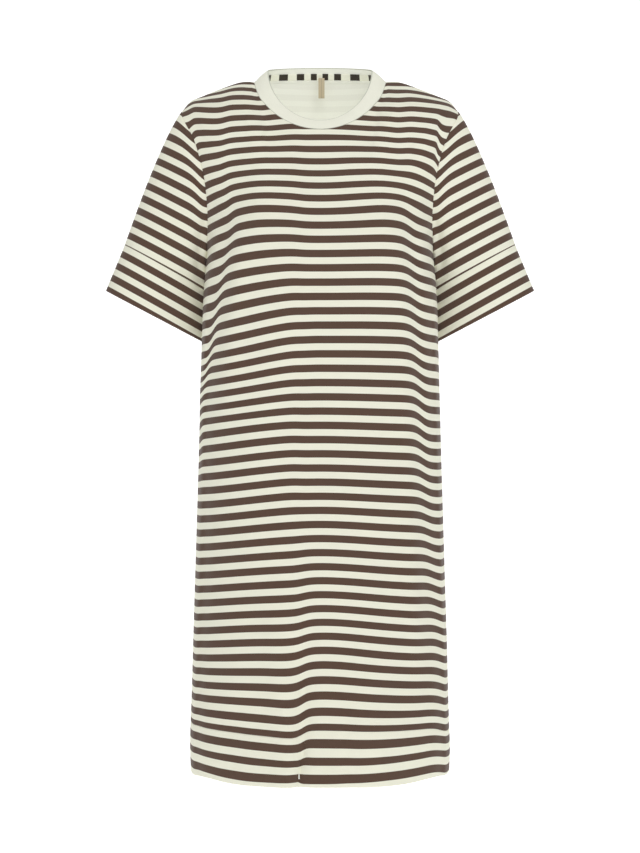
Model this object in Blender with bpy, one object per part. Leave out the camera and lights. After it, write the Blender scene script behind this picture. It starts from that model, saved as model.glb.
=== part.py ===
# Striped jersey T-shirt dress, filled out as it is worn, with nothing inside it.
# Metres, +Z up, +X to the wearer's left seen from the front, front faces -Y.
# The origin is the middle of the neck opening at the height of the shoulder seams' neck ends.
import math

import bpy
import numpy as np

# Cloth and seams
WALL = 0.0016
RIB_WALL = 0.0022
TAPE_WALL = 0.0011
LABEL_WALL = 0.0012
SEAM_GAP = 0.0003

# Heights
HEM_Z = -1.012
HEM_SEAM_Z = -0.937
UNDERARM_Z = -0.250
SHOULDER_Z = -0.043
NECK_FRONT_Z = -0.080
NECK_BACK_Z = 0.011

# Neck seam ring and the free edge of the neck rib
NECK_HALF = 0.0965
NECK_FRONT_Y = 0.076
NECK_BACK_Y = 0.066
EDGE_HALF = 0.0765
EDGE_FRONT_Y = 0.062
EDGE_BACK_Y = 0.053
EDGE_SIDE_Z = 0.0165
EDGE_FRONT_DROP = 0.0820
EDGE_BACK_RISE = 0.0095
# Powers of the rings' fall to the front and rise to the back
NECK_FRONT_POWER = 1.25
NECK_BACK_POWER = 1.2
EDGE_FRONT_POWER = 1.1
# Lean of the walls at the neck seam: sideways, forward, up, and more up at the sides
NECK_LEAN_SIDE = 0.45
NECK_LEAN_FORWARD = 0.80
NECK_LEAN_UP = 0.62
NECK_LEAN_SIDE_UP = 0.25
# How far the rib's face and its free edge are rolled out, the edge as a share of the wall
RIB_ROLL = 0.0012
RIB_CROWN = 0.45

# Armhole ring: its shoulder end, its depth forward and back
SHOULDER_HALF = 0.200
ARM_FRONT_Y = 0.054
ARM_BACK_Y = 0.052
ARM_RING_POWER = 0.9
ARM_LEAN_FORWARD = 1.25

# Sleeve rings: outer and inner corner of each; the inner corners lie behind the body's side
CUFF_SEAM_OUT = (0.2855, 0.000, -0.2385)
CUFF_SEAM_IN = (0.1684, 0.030, -0.3052)
CUFF_EDGE_OUT = (0.3133, 0.000, -0.3060)
CUFF_EDGE_IN = (0.1712, 0.034, -0.3802)
CUFF_SEAM_DEPTH = 0.047
CUFF_EDGE_DEPTH = 0.043
# Bow of the upper side, and of the underside clear of the body: how far, from which cosine of turn, and
# the power that moves it towards the armhole
SLEEVE_BOW = 0.0050
BOW_FROM = -0.8
BOW_POWER = 0.8
SLEEVE_CLEAR = 0.0026
CLEAR_FROM = -0.4
CLEAR_POWER = 0.7
# The folds reach this share of the way past the sleeve's middle
SLEEVE_FOLD_REACH = 0.92

# Back-neck tape and hanger loop
TAPE_FROM = 0.05
TAPE_TO = 0.48
TAPE_GAP = 0.00045
LABEL_X = 0.003
LABEL_WIDE = 0.009
LABEL_TOP = 0.0165
LABEL_BOTTOM = -0.0162

# Grid sizes
NECK_COLUMNS = 8
SHOULDER_COLUMNS = 8
# How even the columns are (1 is all alike, 0 crowds them at the ends)
NECK_EVEN = 0.35
SHOULDER_EVEN = 0.30
BODY_ROWS = 15
YOKE_ROWS = 13
BAND_ROWS = 3
SLEEVE_ROWS = 8
CUFF_ROWS = 3
RIB_ROWS = 4
LABEL_ROWS = 7

# Roundness of the yoke's level lines: power across them, and power of their slope at an armhole
YOKE_POWER = 2.3
ARM_POWER = 0.80
# Powers of the slope off the seams by the neck and at the shoulder point (0.5 is a full round)
NECK_ROUND = 1.10
SHOULDER_ROUND = 0.55
# How far down the neck seam's own curve reaches, and the fall from the neck to the shoulder point above it
SEAM_BLEND = 0.80
TOP_POWER = 1.6
TOP_SLOPE = 3
# How rows bend to the armhole: power across, and power of the lift towards the shoulder
ARM_PULL_POWER = 3
ARM_LIFT_POWER = 1.6
# Where the section at the underarm has become the yoke's, and where the shoulder's roundness starts
YOKE_BLEND = 0.5
ROUND_FROM = 0.40
# Where the folds have faded out beside the side seams and armholes
FOLD_EDGE = 0.88
FOLD_FADE = 0.10
FOLD_RISE_END = 0.9
FOLD_RISE_START = 0.3
# Fairing of the yoke: rounds, and the push and pull of each round
FAIR_ROUNDS = 18
FAIR_PUSH = 0.50
FAIR_PULL = -0.47
FAIR_LEAD_ROWS = 3
# Shading edge, and the smallest difference between columns
SHARP_DEGREES = 50
NEAR = 1e-6

# Half width of the body at the side seams, and the power of its sections (2 is an ellipse), by height
SIDE_LINE = {
    "height": (-1.012, -0.980, -0.906, -0.760, -0.613, -0.460, -0.373, -0.300, -0.250),
    "half_width": (0.1885, 0.1895, 0.1872, 0.1830, 0.1785, 0.1740, 0.1716, 0.1686, 0.1658),
    "power": (2.30, 2.30, 2.30, 2.30, 2.35, 2.40, 2.50, 2.62, 2.75),
}
# Depth of the centre front and centre back, by height
CENTRE_LINE = {
    "height": (-1.012, -0.906, -0.760, -0.613, -0.460, -0.373, -0.300, -0.250,
               -0.200, -0.160, -0.120, -0.080, -0.040, 0.000, 0.011),
    "front": (0.127, 0.126, 0.125, 0.125, 0.128, 0.130, 0.130, 0.128,
              0.118, 0.107, 0.093, 0.076, 0.060, 0.050, 0.048),
    "back": (0.117, 0.114, 0.110, 0.106, 0.102, 0.102, 0.105, 0.108,
             0.109, 0.109, 0.106, 0.100, 0.090, 0.074, 0.066),
}
# Armhole half width by turn, in degrees from the shoulder point down to the underarm
ARM_LINE = {
    "turn": (0, 30, 60, 90, 120, 150, 180),
    "front": (0.2000, 0.1945, 0.1750, 0.1665, 0.1628, 0.1640, 0.1658),
    "back": (0.2000, 0.1965, 0.1870, 0.1785, 0.1715, 0.1675, 0.1658),
}
# Shoulder seam height by distance from the middle
SHOULDER_LINE = {
    "across": (0.0965, 0.1050, 0.1240, 0.1370, 0.1560, 0.1670, 0.1800, 0.1930, 0.2000),
    "height": (0.0000, -0.0008, -0.0048, -0.0092, -0.0160, -0.0218, -0.0285, -0.0372, -0.0430),
}
# Folds of each panel: where they start and end, their width, and how far they stand out (or in)
FOLDS = {
    "front": (
        {"x": (-0.127, -0.146, -0.170), "z": (-0.16, -0.33, -0.52), "wide": 0.014, "deep": -0.0060},
        {"x": (-0.108, -0.124, -0.146), "z": (-0.18, -0.34, -0.56), "wide": 0.018, "deep": 0.0040},
        {"x": (0.126, 0.143, 0.163), "z": (-0.16, -0.45, -0.88), "wide": 0.013, "deep": -0.0055},
        {"x": (0.106, 0.122, 0.140), "z": (-0.18, -0.45, -0.86), "wide": 0.018, "deep": 0.0040},
        {"x": (-0.070, -0.052, -0.045), "z": (-0.70, -0.86, -1.03), "wide": 0.022, "deep": 0.0060},
        {"x": (-0.030, -0.024, -0.030), "z": (-0.78, -0.90, -1.03), "wide": 0.012, "deep": -0.0065},
        {"x": (0.060, 0.066, 0.072), "z": (-0.76, -0.90, -1.03), "wide": 0.030, "deep": 0.0035},
    ),
    "back": (
        {"x": (-0.100, -0.108, -0.112), "z": (-0.22, -0.50, -0.90), "wide": 0.020, "deep": -0.0060},
        {"x": (-0.066, -0.070, -0.078), "z": (-0.30, -0.60, -1.03), "wide": 0.024, "deep": 0.0050},
        {"x": (0.020, 0.014, 0.006), "z": (-0.40, -0.70, -1.03), "wide": 0.022, "deep": -0.0055},
        {"x": (0.104, 0.112, 0.120), "z": (-0.20, -0.48, -0.86), "wide": 0.019, "deep": -0.0060},
        {"x": (0.070, 0.078, 0.086), "z": (-0.36, -0.66, -1.03), "wide": 0.024, "deep": 0.0045},
    ),
}
# Sleeve folds: turn in degrees at the armhole and at the cuff, width in degrees, depth
SLEEVE_FOLDS = (
    {"turn": (122, 150), "wide": 16.0, "deep": -0.0050},
    {"turn": (92, 112), "wide": 20.0, "deep": 0.0030},
    {"turn": (238, 212), "wide": 16.0, "deep": -0.0050},
    {"turn": (268, 246), "wide": 20.0, "deep": 0.0030},
)

MATERIALS = {
    "striped_jersey": ((0.36, 0.31, 0.26), 0.85),
    "neck_rib": ((0.75, 0.76, 0.62), 0.85),
    "neck_tape": ((0.36, 0.31, 0.26), 0.85),
    "label": ((0.46, 0.38, 0.26), 0.70),
}


def curve(at, across, values):
    """Smooth line through a table: cubic pieces with the slopes of the neighbouring rows."""
    across = np.asarray(across, float)
    values = np.asarray(values, float)
    slope = np.gradient(values, across)
    place = np.clip(np.searchsorted(across, at) - 1, 0, len(across) - 2)
    step = across[place + 1] - across[place]
    t = np.clip((at - across[place]) / step, 0.0, 1.0)
    h00 = 2 * t ** 3 - 3 * t ** 2 + 1
    h10 = t ** 3 - 2 * t ** 2 + t
    h01 = 3 * t ** 2 - 2 * t ** 3
    h11 = t ** 3 - t ** 2
    low = h00 * values[place] + h10 * step * slope[place]
    return low + h01 * values[place + 1] + h11 * step * slope[place + 1]


def ramp(low, high, x):
    t = np.clip((x - low) / (high - low), 0.0, 1.0)
    return t * t * (3 - 2 * t)


def unit(vectors):
    return vectors / np.linalg.norm(vectors, axis=-1, keepdims=True)


def neck_ring(turn):
    """Neck seam: an ellipse in plan, low at the front and a little high at the back. Turn 0 is the front."""
    front = np.cos(turn) > 0
    cos = np.abs(np.cos(turn))
    y = np.where(front, -NECK_FRONT_Y, NECK_BACK_Y) * cos
    z = np.where(front, NECK_FRONT_Z * cos ** NECK_FRONT_POWER, NECK_BACK_Z * cos ** NECK_BACK_POWER)
    return np.stack([NECK_HALF * np.sin(turn), y, z], axis=-1)


def edge_ring(turn):
    """Free edge of the neck rib, inside and above the seam."""
    front = np.cos(turn) > 0
    cos = np.abs(np.cos(turn))
    y = np.where(front, -EDGE_FRONT_Y, EDGE_BACK_Y) * cos
    drop = np.where(front, -EDGE_FRONT_DROP * cos ** EDGE_FRONT_POWER, EDGE_BACK_RISE * cos)
    return np.stack([EDGE_HALF * np.sin(turn), y, EDGE_SIDE_Z + drop], axis=-1)


def neck_inward(turn):
    """Shared direction of the walls at the neck seam, from the outside in."""
    sin = np.sin(turn)
    up = NECK_LEAN_UP + NECK_LEAN_SIDE_UP * sin ** 2
    return unit(np.stack([-NECK_LEAN_SIDE * sin, NECK_LEAN_FORWARD * np.cos(turn), -up], axis=-1))


def arm_ring(turn, side):
    """Armhole seam: an ellipse seen from the side; its half width comes from the table."""
    degrees = np.degrees(turn)
    front = degrees <= 180.0
    from_top = np.where(front, degrees, 360.0 - degrees)
    half = np.where(front,
                    curve(from_top, ARM_LINE["turn"], ARM_LINE["front"]),
                    curve(from_top, ARM_LINE["turn"], ARM_LINE["back"]))
    middle = (SHOULDER_Z + UNDERARM_Z) / 2
    tall = (SHOULDER_Z - UNDERARM_Z) / 2
    depth = np.where(front, -ARM_FRONT_Y, ARM_BACK_Y) * np.abs(np.sin(turn)) ** ARM_RING_POWER
    return np.stack([side * half, depth, middle + tall * np.cos(turn)], axis=-1)


def arm_inward(turn):
    """Shared direction of the walls at the armhole seam: towards the middle of the ring."""
    return unit(np.stack([np.zeros_like(turn), ARM_LEAN_FORWARD * np.sin(turn), -np.cos(turn)], axis=-1))


def spaced(columns, even):
    """Places from 0 to 1 that stand closer together towards 1."""
    k = np.linspace(0.0, 1.0, columns + 1)
    return even * k + (1 - even) * np.sin(k * math.pi / 2)


def column_marks():
    """Columns from the left edge (-1) to the right (1), with one at each neck end of the shoulder."""
    neck_end = NECK_HALF / SHOULDER_HALF
    inner = neck_end * spaced(NECK_COLUMNS, NECK_EVEN)
    outer = neck_end + (1 - neck_end) * spaced(SHOULDER_COLUMNS, SHOULDER_EVEN)[1:]
    half = np.concatenate([inner, outer])
    return np.concatenate([-half[:0:-1], half])


def fold_depth(panel, x, z):
    """Sum of the folds: a bell across each one, faded in and out along its length."""
    total = np.zeros_like(x)
    for fold in FOLDS[panel]:
        line = curve(z, fold["z"][::-1], fold["x"][::-1])
        top, bottom = fold["z"][0], fold["z"][-1]
        along = ramp(top, top - FOLD_FADE, z)
        if bottom > HEM_Z:
            along = along * ramp(bottom, bottom + FOLD_FADE, z)
        total += fold["deep"] * along * np.exp(-((x - line) / fold["wide"]) ** 2)
    return total


def section_depth(panel, x, z):
    """Depth of a body section below the underarm: a power curve from side seam to centre, plus folds."""
    half = curve(z, SIDE_LINE["height"], SIDE_LINE["half_width"])
    centre = curve(z, CENTRE_LINE["height"], CENTRE_LINE[panel])
    out = np.clip(np.abs(x) / half, 0.0, 1.0)
    power = curve(z, SIDE_LINE["height"], SIDE_LINE["power"])
    depth = centre * (1 - out ** power) ** (1 / power)
    return depth + fold_depth(panel, x, z) * ramp(1.0, FOLD_EDGE, out)


def fair(grid, first_row):
    """Evens out the rows above first_row: points move to the mean of their neighbours and part way back.
    The grid's edges stay where they are."""
    rows = np.arange(grid.shape[0])[:, None, None]
    weight = ramp(first_row, first_row + FAIR_LEAD_ROWS, rows.astype(float))[1:-1]
    for _ in range(FAIR_ROUNDS):
        for part in (FAIR_PUSH, FAIR_PULL):
            mean = (grid[:-2, 1:-1] + grid[2:, 1:-1] + grid[1:-1, :-2] + grid[1:-1, 2:]) / 4
            grid[1:-1, 1:-1] += part * weight * (mean - grid[1:-1, 1:-1])
    return grid


def lower_panel(panel, marks, heights):
    """Panel rows below the underarm: level sections."""
    z, u = np.meshgrid(heights, marks, indexing="ij")
    x = u * curve(z, SIDE_LINE["height"], SIDE_LINE["half_width"])
    facing = -1.0 if panel == "front" else 1.0
    return np.stack([x, facing * section_depth(panel, x, z), z], axis=-1)


def upper_panel(panel, marks, rises):
    """Panel rows from the underarm (0) to the shoulder and neck (1), spread between armhole and centre."""
    rise, u = np.meshgrid(rises, marks, indexing="ij")
    facing = -1.0 if panel == "front" else 1.0
    turn = math.pi * (1 - rise)
    edge = arm_ring(turn if panel == "front" else 2 * math.pi - turn, 1.0)
    out = np.abs(u)
    across = out * SHOULDER_HALF
    on_neck = across < NECK_HALF
    neck_sin = np.clip(across / NECK_HALF, 0.0, 1.0)
    neck_turn = np.arcsin(neck_sin) if panel == "front" else math.pi - np.arcsin(neck_sin)
    ring = neck_ring(neck_turn)
    shoulder = curve(across, SHOULDER_LINE["across"], SHOULDER_LINE["height"])
    top = np.where(on_neck, ring[..., 2], shoulder)
    level = UNDERARM_Z + (top - UNDERARM_Z) * rise
    by_arm = edge[..., 2] + (top - SHOULDER_Z) * rise ** ARM_LIFT_POWER
    pull = out ** ARM_PULL_POWER
    z = (1 - pull) * level + pull * by_arm
    centre_top = NECK_FRONT_Z if panel == "front" else NECK_BACK_Z
    centre_z = UNDERARM_Z + (centre_top - UNDERARM_Z) * rise
    centre = curve(centre_z, CENTRE_LINE["height"], CENTRE_LINE[panel])
    side = np.abs(edge[..., 1])
    low_power = SIDE_LINE["power"][-1]
    power = low_power + (YOKE_POWER - low_power) * ramp(0.0, YOKE_BLEND, rise)
    slope = 1 / low_power + (ARM_POWER - 1 / low_power) * ramp(0.0, YOKE_BLEND, rise)
    chest = (1 - out ** power) ** slope
    at_seams = np.where(on_neck, np.sqrt(1 - neck_sin ** 2), 0.0)
    by_seams = ramp(SEAM_BLEND, 1.0, rise)
    top_shape = by_seams * at_seams + (1 - by_seams) * (1 - out ** TOP_POWER) ** TOP_SLOPE
    roundness = NECK_ROUND + (SHOULDER_ROUND - NECK_ROUND) * ramp(ROUND_FROM, 1.0, out)
    fade = (1 - rise ** 2) ** roundness
    depth = side + (centre - side) * (fade * chest + (1 - fade) * top_shape)
    x = u * edge[..., 0]
    fold_share = ramp(1.0, FOLD_EDGE, out) * ramp(FOLD_RISE_END, FOLD_RISE_START, rise)
    depth = depth + fold_depth(panel, x, z) * fold_share
    return np.stack([x, facing * depth, z], axis=-1)


def normals(grid, closed):
    """Inward normals of a grid of points, from its neighbours along and across."""
    if closed:
        across = np.roll(grid, -1, axis=1) - np.roll(grid, 1, axis=1)
    else:
        across = np.gradient(grid, axis=1)
    along = np.gradient(grid, axis=0)
    return unit(np.cross(across, along))


def flat_rim(vectors, axis):
    """Turns wall directions into the plane of a rim."""
    axis = np.asarray(axis, float)
    return unit(vectors - (vectors @ axis)[..., None] * axis)


def rim_shift(points, inward, closed, toward):
    """Half the seam gap, square to both the seam line and the wall, to the side that 'toward' points."""
    if closed:
        line = np.roll(points, -1, axis=0) - np.roll(points, 1, axis=0)
    else:
        line = np.gradient(points, axis=0)
    shift = unit(np.cross(line, inward))
    sign = np.sign(np.sum(shift * toward, axis=-1, keepdims=True))
    return shift * sign * SEAM_GAP / 2


def wall_mesh(name, outer, inner, closed, crown=None):
    """Closed solid between an outer and an inner grid; crown is a row that rounds the last edge."""
    rows, columns = outer.shape[:2]
    points = [outer.reshape(-1, 3), inner.reshape(-1, 3)]
    if crown is not None:
        points.append(crown.reshape(-1, 3))
    points = np.concatenate(points)
    number = np.arange(rows * columns).reshape(rows, columns)
    inside = number + rows * columns
    last = columns if closed else columns - 1
    faces = []
    for j in range(last):
        k = (j + 1) % columns
        for i in range(rows - 1):
            faces.append((number[i, j], number[i, k], number[i + 1, k], number[i + 1, j]))
            faces.append((inside[i, j], inside[i + 1, j], inside[i + 1, k], inside[i, k]))
        faces.append((number[0, j], inside[0, j], inside[0, k], number[0, k]))
        if crown is None:
            faces.append((number[-1, j], number[-1, k], inside[-1, k], inside[-1, j]))
        else:
            mid = 2 * rows * columns
            faces.append((number[-1, j], number[-1, k], mid + k, mid + j))
            faces.append((mid + j, mid + k, inside[-1, k], inside[-1, j]))
    if not closed:
        for i in range(rows - 1):
            faces.append((number[i, 0], number[i + 1, 0], inside[i + 1, 0], inside[i, 0]))
            faces.append((number[i, -1], inside[i, -1], inside[i + 1, -1], number[i + 1, -1]))
    return solid(name, points, faces)


def solid(name, points, faces):
    """Mesh object with its faces turned out."""
    mesh = bpy.data.meshes.new(name)
    mesh.from_pydata(points.tolist(), [], [tuple(int(n) for n in face) for face in faces])
    mesh.update()
    mesh.validate()
    piece = bpy.data.objects.new(name, mesh)
    volume = sum(poly_volume(mesh, polygon) for polygon in mesh.polygons)
    if volume < 0:
        mesh.flip_normals()
    mesh.shade_smooth()
    mesh.set_sharp_from_angle(angle=math.radians(SHARP_DEGREES))
    return piece


def poly_volume(mesh, polygon):
    corners = [mesh.vertices[index].co for index in polygon.vertices]
    return sum(corners[0].dot(corners[n].cross(corners[n + 1])) for n in range(1, len(corners) - 1)) / 6


def yoke_turns(panel, rises):
    turn = math.pi * (1 - rises)
    return turn if panel == "front" else 2 * math.pi - turn


def body_panel(panel):
    """Front or back from the hem-band seam to the shoulder seams, neck seam and armholes."""
    marks = column_marks()
    heights = np.linspace(HEM_SEAM_Z + SEAM_GAP / 2, UNDERARM_Z, BODY_ROWS + 1)
    rises = np.linspace(0.0, 1.0, YOKE_ROWS + 1)
    outer = np.concatenate([lower_panel(panel, marks, heights), upper_panel(panel, marks, rises)[1:]])
    outer = fair(outer, BODY_ROWS - FAIR_LEAD_ROWS)
    facing = -1.0 if panel == "front" else 1.0
    inward = normals(outer, False)
    inward *= -np.sign(inward[2, len(marks) // 2, 1] * facing)
    inward[0] = flat_rim(inward[0], (0, 0, 1))
    for edge in (0, -1):
        side_rows = slice(0, BODY_ROWS + 1)
        inward[side_rows, edge] = flat_rim(inward[side_rows, edge], (0, 1, 0))
    inward[0, 0] = (1, 0, 0)
    inward[0, -1] = (-1, 0, 0)
    shoulder = np.abs(marks) >= NECK_HALF / SHOULDER_HALF - NEAR
    inward[-1, shoulder] = flat_rim(inward[-1, shoulder], (0, 1, 0))
    across = np.clip(marks[~shoulder] * SHOULDER_HALF / NECK_HALF, -1, 1)
    neck_turn = np.arcsin(across) if panel == "front" else math.pi - np.arcsin(across)
    inward[-1, ~shoulder] = neck_inward(neck_turn)
    neck_ends = np.flatnonzero(shoulder & (np.abs(marks) < NECK_HALF / SHOULDER_HALF + NEAR))
    for end in neck_ends:
        inward[-1, end] = neck_inward(np.array(math.copysign(math.pi / 2, marks[end])))
    arm_rows = slice(BODY_ROWS, BODY_ROWS + YOKE_ROWS + 1)
    turns = yoke_turns(panel, rises)
    for edge, side in ((0, -1.0), (-1, 1.0)):
        inward[arm_rows, edge] = arm_inward(turns)
        ring = outer[arm_rows, edge]
        outer[arm_rows, edge] = ring + rim_shift(ring, arm_inward(turns), False, (-side, 0, 0.3))
        outer[BODY_ROWS, edge] = ring[0] - np.array([0, 0, SEAM_GAP / 2])
    neck = slice(neck_ends[0], neck_ends[1] + 1)
    line = outer[-1, neck].copy()
    outer[-1, neck] = line + rim_shift(line, inward[-1, neck], False, (0, 0, -1))
    outer[..., 1] += facing * SEAM_GAP / 2
    inner = outer + inward * WALL
    return wall_mesh(panel, outer, inner, False)


def hem_band(panel):
    """Separate band along the hem, cut with its own stripes."""
    marks = column_marks()
    heights = np.linspace(HEM_Z, HEM_SEAM_Z - SEAM_GAP / 2, BAND_ROWS + 1)
    outer = lower_panel(panel, marks, heights)
    facing = -1.0 if panel == "front" else 1.0
    inward = normals(outer, False)
    inward *= -np.sign(inward[1, len(marks) // 2, 1] * facing)
    inward[-1] = flat_rim(inward[-1], (0, 0, 1))
    inward[0] = flat_rim(inward[0], (0, 0, 1))
    for edge, side in ((0, -1.0), (-1, 1.0)):
        inward[:, edge] = flat_rim(inward[:, edge], (0, 1, 0))
        inward[(0, -1), edge] = (-side, 0, 0)
    outer[..., 1] += facing * SEAM_GAP / 2
    return wall_mesh("hem_band_" + panel, outer, outer + inward * WALL, False)


def cuff_ring(turn, side, outer_corner, inner_corner, depth):
    """Flat oval ring between two corners; turn 0 is the outer corner, a quarter turn the front."""
    mirror = np.array([side, 1.0, 1.0])
    outside = np.array(outer_corner) * mirror
    inside = np.array(inner_corner) * mirror
    long = (outside - inside) / 2
    forward = np.array([0.0, -depth, 0.0])
    return (outside + inside) / 2 + np.cos(turn)[..., None] * long + np.sin(turn)[..., None] * forward


def sleeve_turns():
    rises = np.linspace(0.0, 1.0, YOKE_ROWS + 1)
    front = math.pi * (1 - rises)[::-1]
    back = 2 * math.pi - front[::-1]
    return np.concatenate([front[:-1], back[:-1]])


def sleeve_grid(turns, rows, side):
    """Sleeve rings from armhole to cuff seam, bowed out between them, with its folds."""
    start = arm_ring(turns, side)
    end = cuff_ring(turns, side, CUFF_SEAM_OUT, CUFF_SEAM_IN, CUFF_SEAM_DEPTH)
    along = np.linspace(0.0, 1.0, rows + 1)[:, None, None]
    grid = start * (1 - along) + end * along
    outward = unit(grid - grid.mean(axis=1, keepdims=True))
    upper = ramp(BOW_FROM, 1.0, np.cos(turns))[None, :, None]
    under = ramp(CLEAR_FROM, -1.0, np.cos(turns))[None, :, None]
    grid = grid + outward * upper * SLEEVE_BOW * np.sin(math.pi * along ** BOW_POWER)
    grid[..., 0] += side * (under * SLEEVE_CLEAR * np.sin(math.pi * along ** CLEAR_POWER))[..., 0]
    degrees = np.degrees(turns)[None, :, None]
    for fold in SLEEVE_FOLDS:
        line = fold["turn"][0] + (fold["turn"][1] - fold["turn"][0]) * along
        bell = np.exp(-((degrees - line) / fold["wide"]) ** 2)
        grid = grid + outward * bell * fold["deep"] * np.sin(math.pi * SLEEVE_FOLD_REACH * along)
    return grid


def cuff_axis(side):
    """Direction up the sleeve, square to the cuff seam."""
    long = (np.array(CUFF_SEAM_OUT) - np.array(CUFF_SEAM_IN)) * np.array([side, 0.0, 1.0])
    return unit(np.cross(long, np.array([0.0, side, 0.0])))


def tube_inward(grid):
    inward = normals(grid, True)
    middle = grid.mean(axis=1, keepdims=True)
    facing = np.sign(np.sum(inward * (middle - grid)))
    return inward * facing


def sleeve(side, word):
    """Sleeve from the armhole seam to the cuff seam."""
    turns = sleeve_turns()
    outer = sleeve_grid(turns, SLEEVE_ROWS, side)
    inward = tube_inward(outer)
    inward[0] = arm_inward(turns)
    outer[0] = outer[0] + rim_shift(outer[0], arm_inward(turns), True, (side, 0, -0.3))
    axis = cuff_axis(side)
    inward[-1] = flat_rim(inward[-1], axis)
    outer[-1] += axis * SEAM_GAP / 2
    return wall_mesh("sleeve_" + word, outer, outer + inward * WALL, True)


def cuff(side, word):
    """Deep cuff band sewn to the sleeve's end."""
    turns = sleeve_turns()
    start = cuff_ring(turns, side, CUFF_SEAM_OUT, CUFF_SEAM_IN, CUFF_SEAM_DEPTH)
    end = cuff_ring(turns, side, CUFF_EDGE_OUT, CUFF_EDGE_IN, CUFF_EDGE_DEPTH)
    along = np.linspace(0.0, 1.0, CUFF_ROWS + 1)[:, None, None]
    outer = start * (1 - along) + end * along
    inward = tube_inward(outer)
    axis = cuff_axis(side)
    inward[0] = flat_rim(inward[0], axis)
    outer[0] -= axis * SEAM_GAP / 2
    return wall_mesh("cuff_" + word, outer, outer + inward * WALL, True)


def ring_turns():
    """Turns round the neck that match the panels' columns."""
    quarter = np.arcsin(spaced(NECK_COLUMNS, NECK_EVEN))
    half = np.concatenate([quarter, math.pi - quarter[-2::-1]])
    return np.concatenate([half, 2 * math.pi - half[-2:0:-1]])


def rib_surface(turns, marks):
    """Rib face from the seam (0) to its free edge (1), rolled out a little between."""
    start = neck_ring(turns)
    end = edge_ring(turns)
    along = marks[:, None, None]
    grid = start * (1 - along) + end * along
    return grid - neck_inward(turns)[None] * RIB_ROLL * 4 * along * (1 - along)


def rib_walls():
    """Outer and inner grids of the neck rib, from the seam row to the free edge row."""
    turns = ring_turns()
    marks = np.linspace(0.0, 1.0, RIB_ROWS + 1)
    outer = rib_surface(turns, marks)
    inward = tube_inward(outer)
    inward[0] = neck_inward(turns)
    outer[0] = outer[0] + rim_shift(outer[0], neck_inward(turns), True, (0, 0, 1))
    return outer, outer + inward * RIB_WALL


def neck_rib():
    outer, inner = rib_walls()
    crown = (outer[-1] + inner[-1]) / 2 + unit(outer[-1] - outer[-2]) * RIB_WALL * RIB_CROWN
    return wall_mesh("neck_rib", outer, inner, True, crown)


def tape_walls():
    """Tape on the inside of the back rib, from one shoulder seam to the other."""
    inner = rib_walls()[1]
    back = inner[:, NECK_COLUMNS:3 * NECK_COLUMNS + 1]
    marks = np.array([TAPE_FROM, 1 / RIB_ROWS, TAPE_TO]) * RIB_ROWS
    row = np.minimum(marks.astype(int), RIB_ROWS - 1)
    part = (marks - row)[:, None, None]
    face = back[row] * (1 - part) + back[row + 1] * part
    inward = normals(face, False)
    inward *= -np.sign(inward[1, NECK_COLUMNS, 1])
    near = face + inward * TAPE_GAP
    return near, near + inward * TAPE_WALL


def neck_tape():
    near, far = tape_walls()
    return wall_mesh("neck_tape", near, far, False)


def label_loop():
    """Blank folded loop sewn on the tape's lower edge, hanging inside the back neck."""
    seat = tape_walls()[1][:, NECK_COLUMNS]
    heights = np.linspace(LABEL_BOTTOM, LABEL_TOP, LABEL_ROWS)
    on_tape = np.interp(heights, seat[:, 2], seat[:, 1]) - TAPE_GAP
    rows = []
    for height, y in zip(heights, on_tape):
        rows.append([(LABEL_X - LABEL_WIDE / 2, y, height), (LABEL_X + LABEL_WIDE / 2, y, height)])
    near = np.array(rows)
    return wall_mesh("label_loop", near, near + np.array([0.0, -LABEL_WALL, 0.0]), False)


def material(name):
    colour, rough = MATERIALS[name]
    surface = bpy.data.materials.new(name)
    surface.use_nodes = True
    shader = surface.node_tree.nodes["Principled BSDF"]
    shader.inputs["Base Color"].default_value = (*colour, 1.0)
    shader.inputs["Roughness"].default_value = rough
    shader.inputs["Metallic"].default_value = 0.0
    return surface


def main():
    for old in list(bpy.data.objects):
        bpy.data.objects.remove(old, do_unlink=True)
    dress = bpy.data.collections.new("jersey_dress")
    bpy.context.scene.collection.children.link(dress)
    striped = material("striped_jersey")
    rib = material("neck_rib")
    tape = material("neck_tape")
    tan = material("label")
    pieces = [
        (body_panel("front"), striped),
        (body_panel("back"), striped),
        (hem_band("front"), striped),
        (hem_band("back"), striped),
        (sleeve(-1.0, "left"), striped),
        (sleeve(1.0, "right"), striped),
        (cuff(-1.0, "left"), striped),
        (cuff(1.0, "right"), striped),
        (neck_rib(), rib),
        (neck_tape(), tape),
        (label_loop(), tan),
    ]
    for piece, surface in pieces:
        piece.data.materials.append(surface)
        dress.objects.link(piece)


main()
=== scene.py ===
# Looks of the striped jersey T-shirt dress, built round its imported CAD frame.
# Metres, +Z up, the front faces -Y. Left and right are those of the picture.
import math

import bpy
import numpy as np
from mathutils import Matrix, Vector


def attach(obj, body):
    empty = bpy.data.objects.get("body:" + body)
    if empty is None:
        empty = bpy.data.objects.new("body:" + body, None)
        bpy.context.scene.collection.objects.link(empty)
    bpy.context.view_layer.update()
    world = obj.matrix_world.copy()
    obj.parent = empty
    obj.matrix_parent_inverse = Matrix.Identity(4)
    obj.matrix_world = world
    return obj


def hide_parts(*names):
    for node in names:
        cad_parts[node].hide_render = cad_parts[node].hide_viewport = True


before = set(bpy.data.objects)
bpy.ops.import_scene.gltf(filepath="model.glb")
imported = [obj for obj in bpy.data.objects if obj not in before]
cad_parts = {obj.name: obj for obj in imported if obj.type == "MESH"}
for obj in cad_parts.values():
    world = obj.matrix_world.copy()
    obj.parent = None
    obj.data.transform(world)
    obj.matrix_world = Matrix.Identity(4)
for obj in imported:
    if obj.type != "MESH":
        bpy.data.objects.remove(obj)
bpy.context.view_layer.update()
print("frame loaded")


# Shared sums

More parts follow.
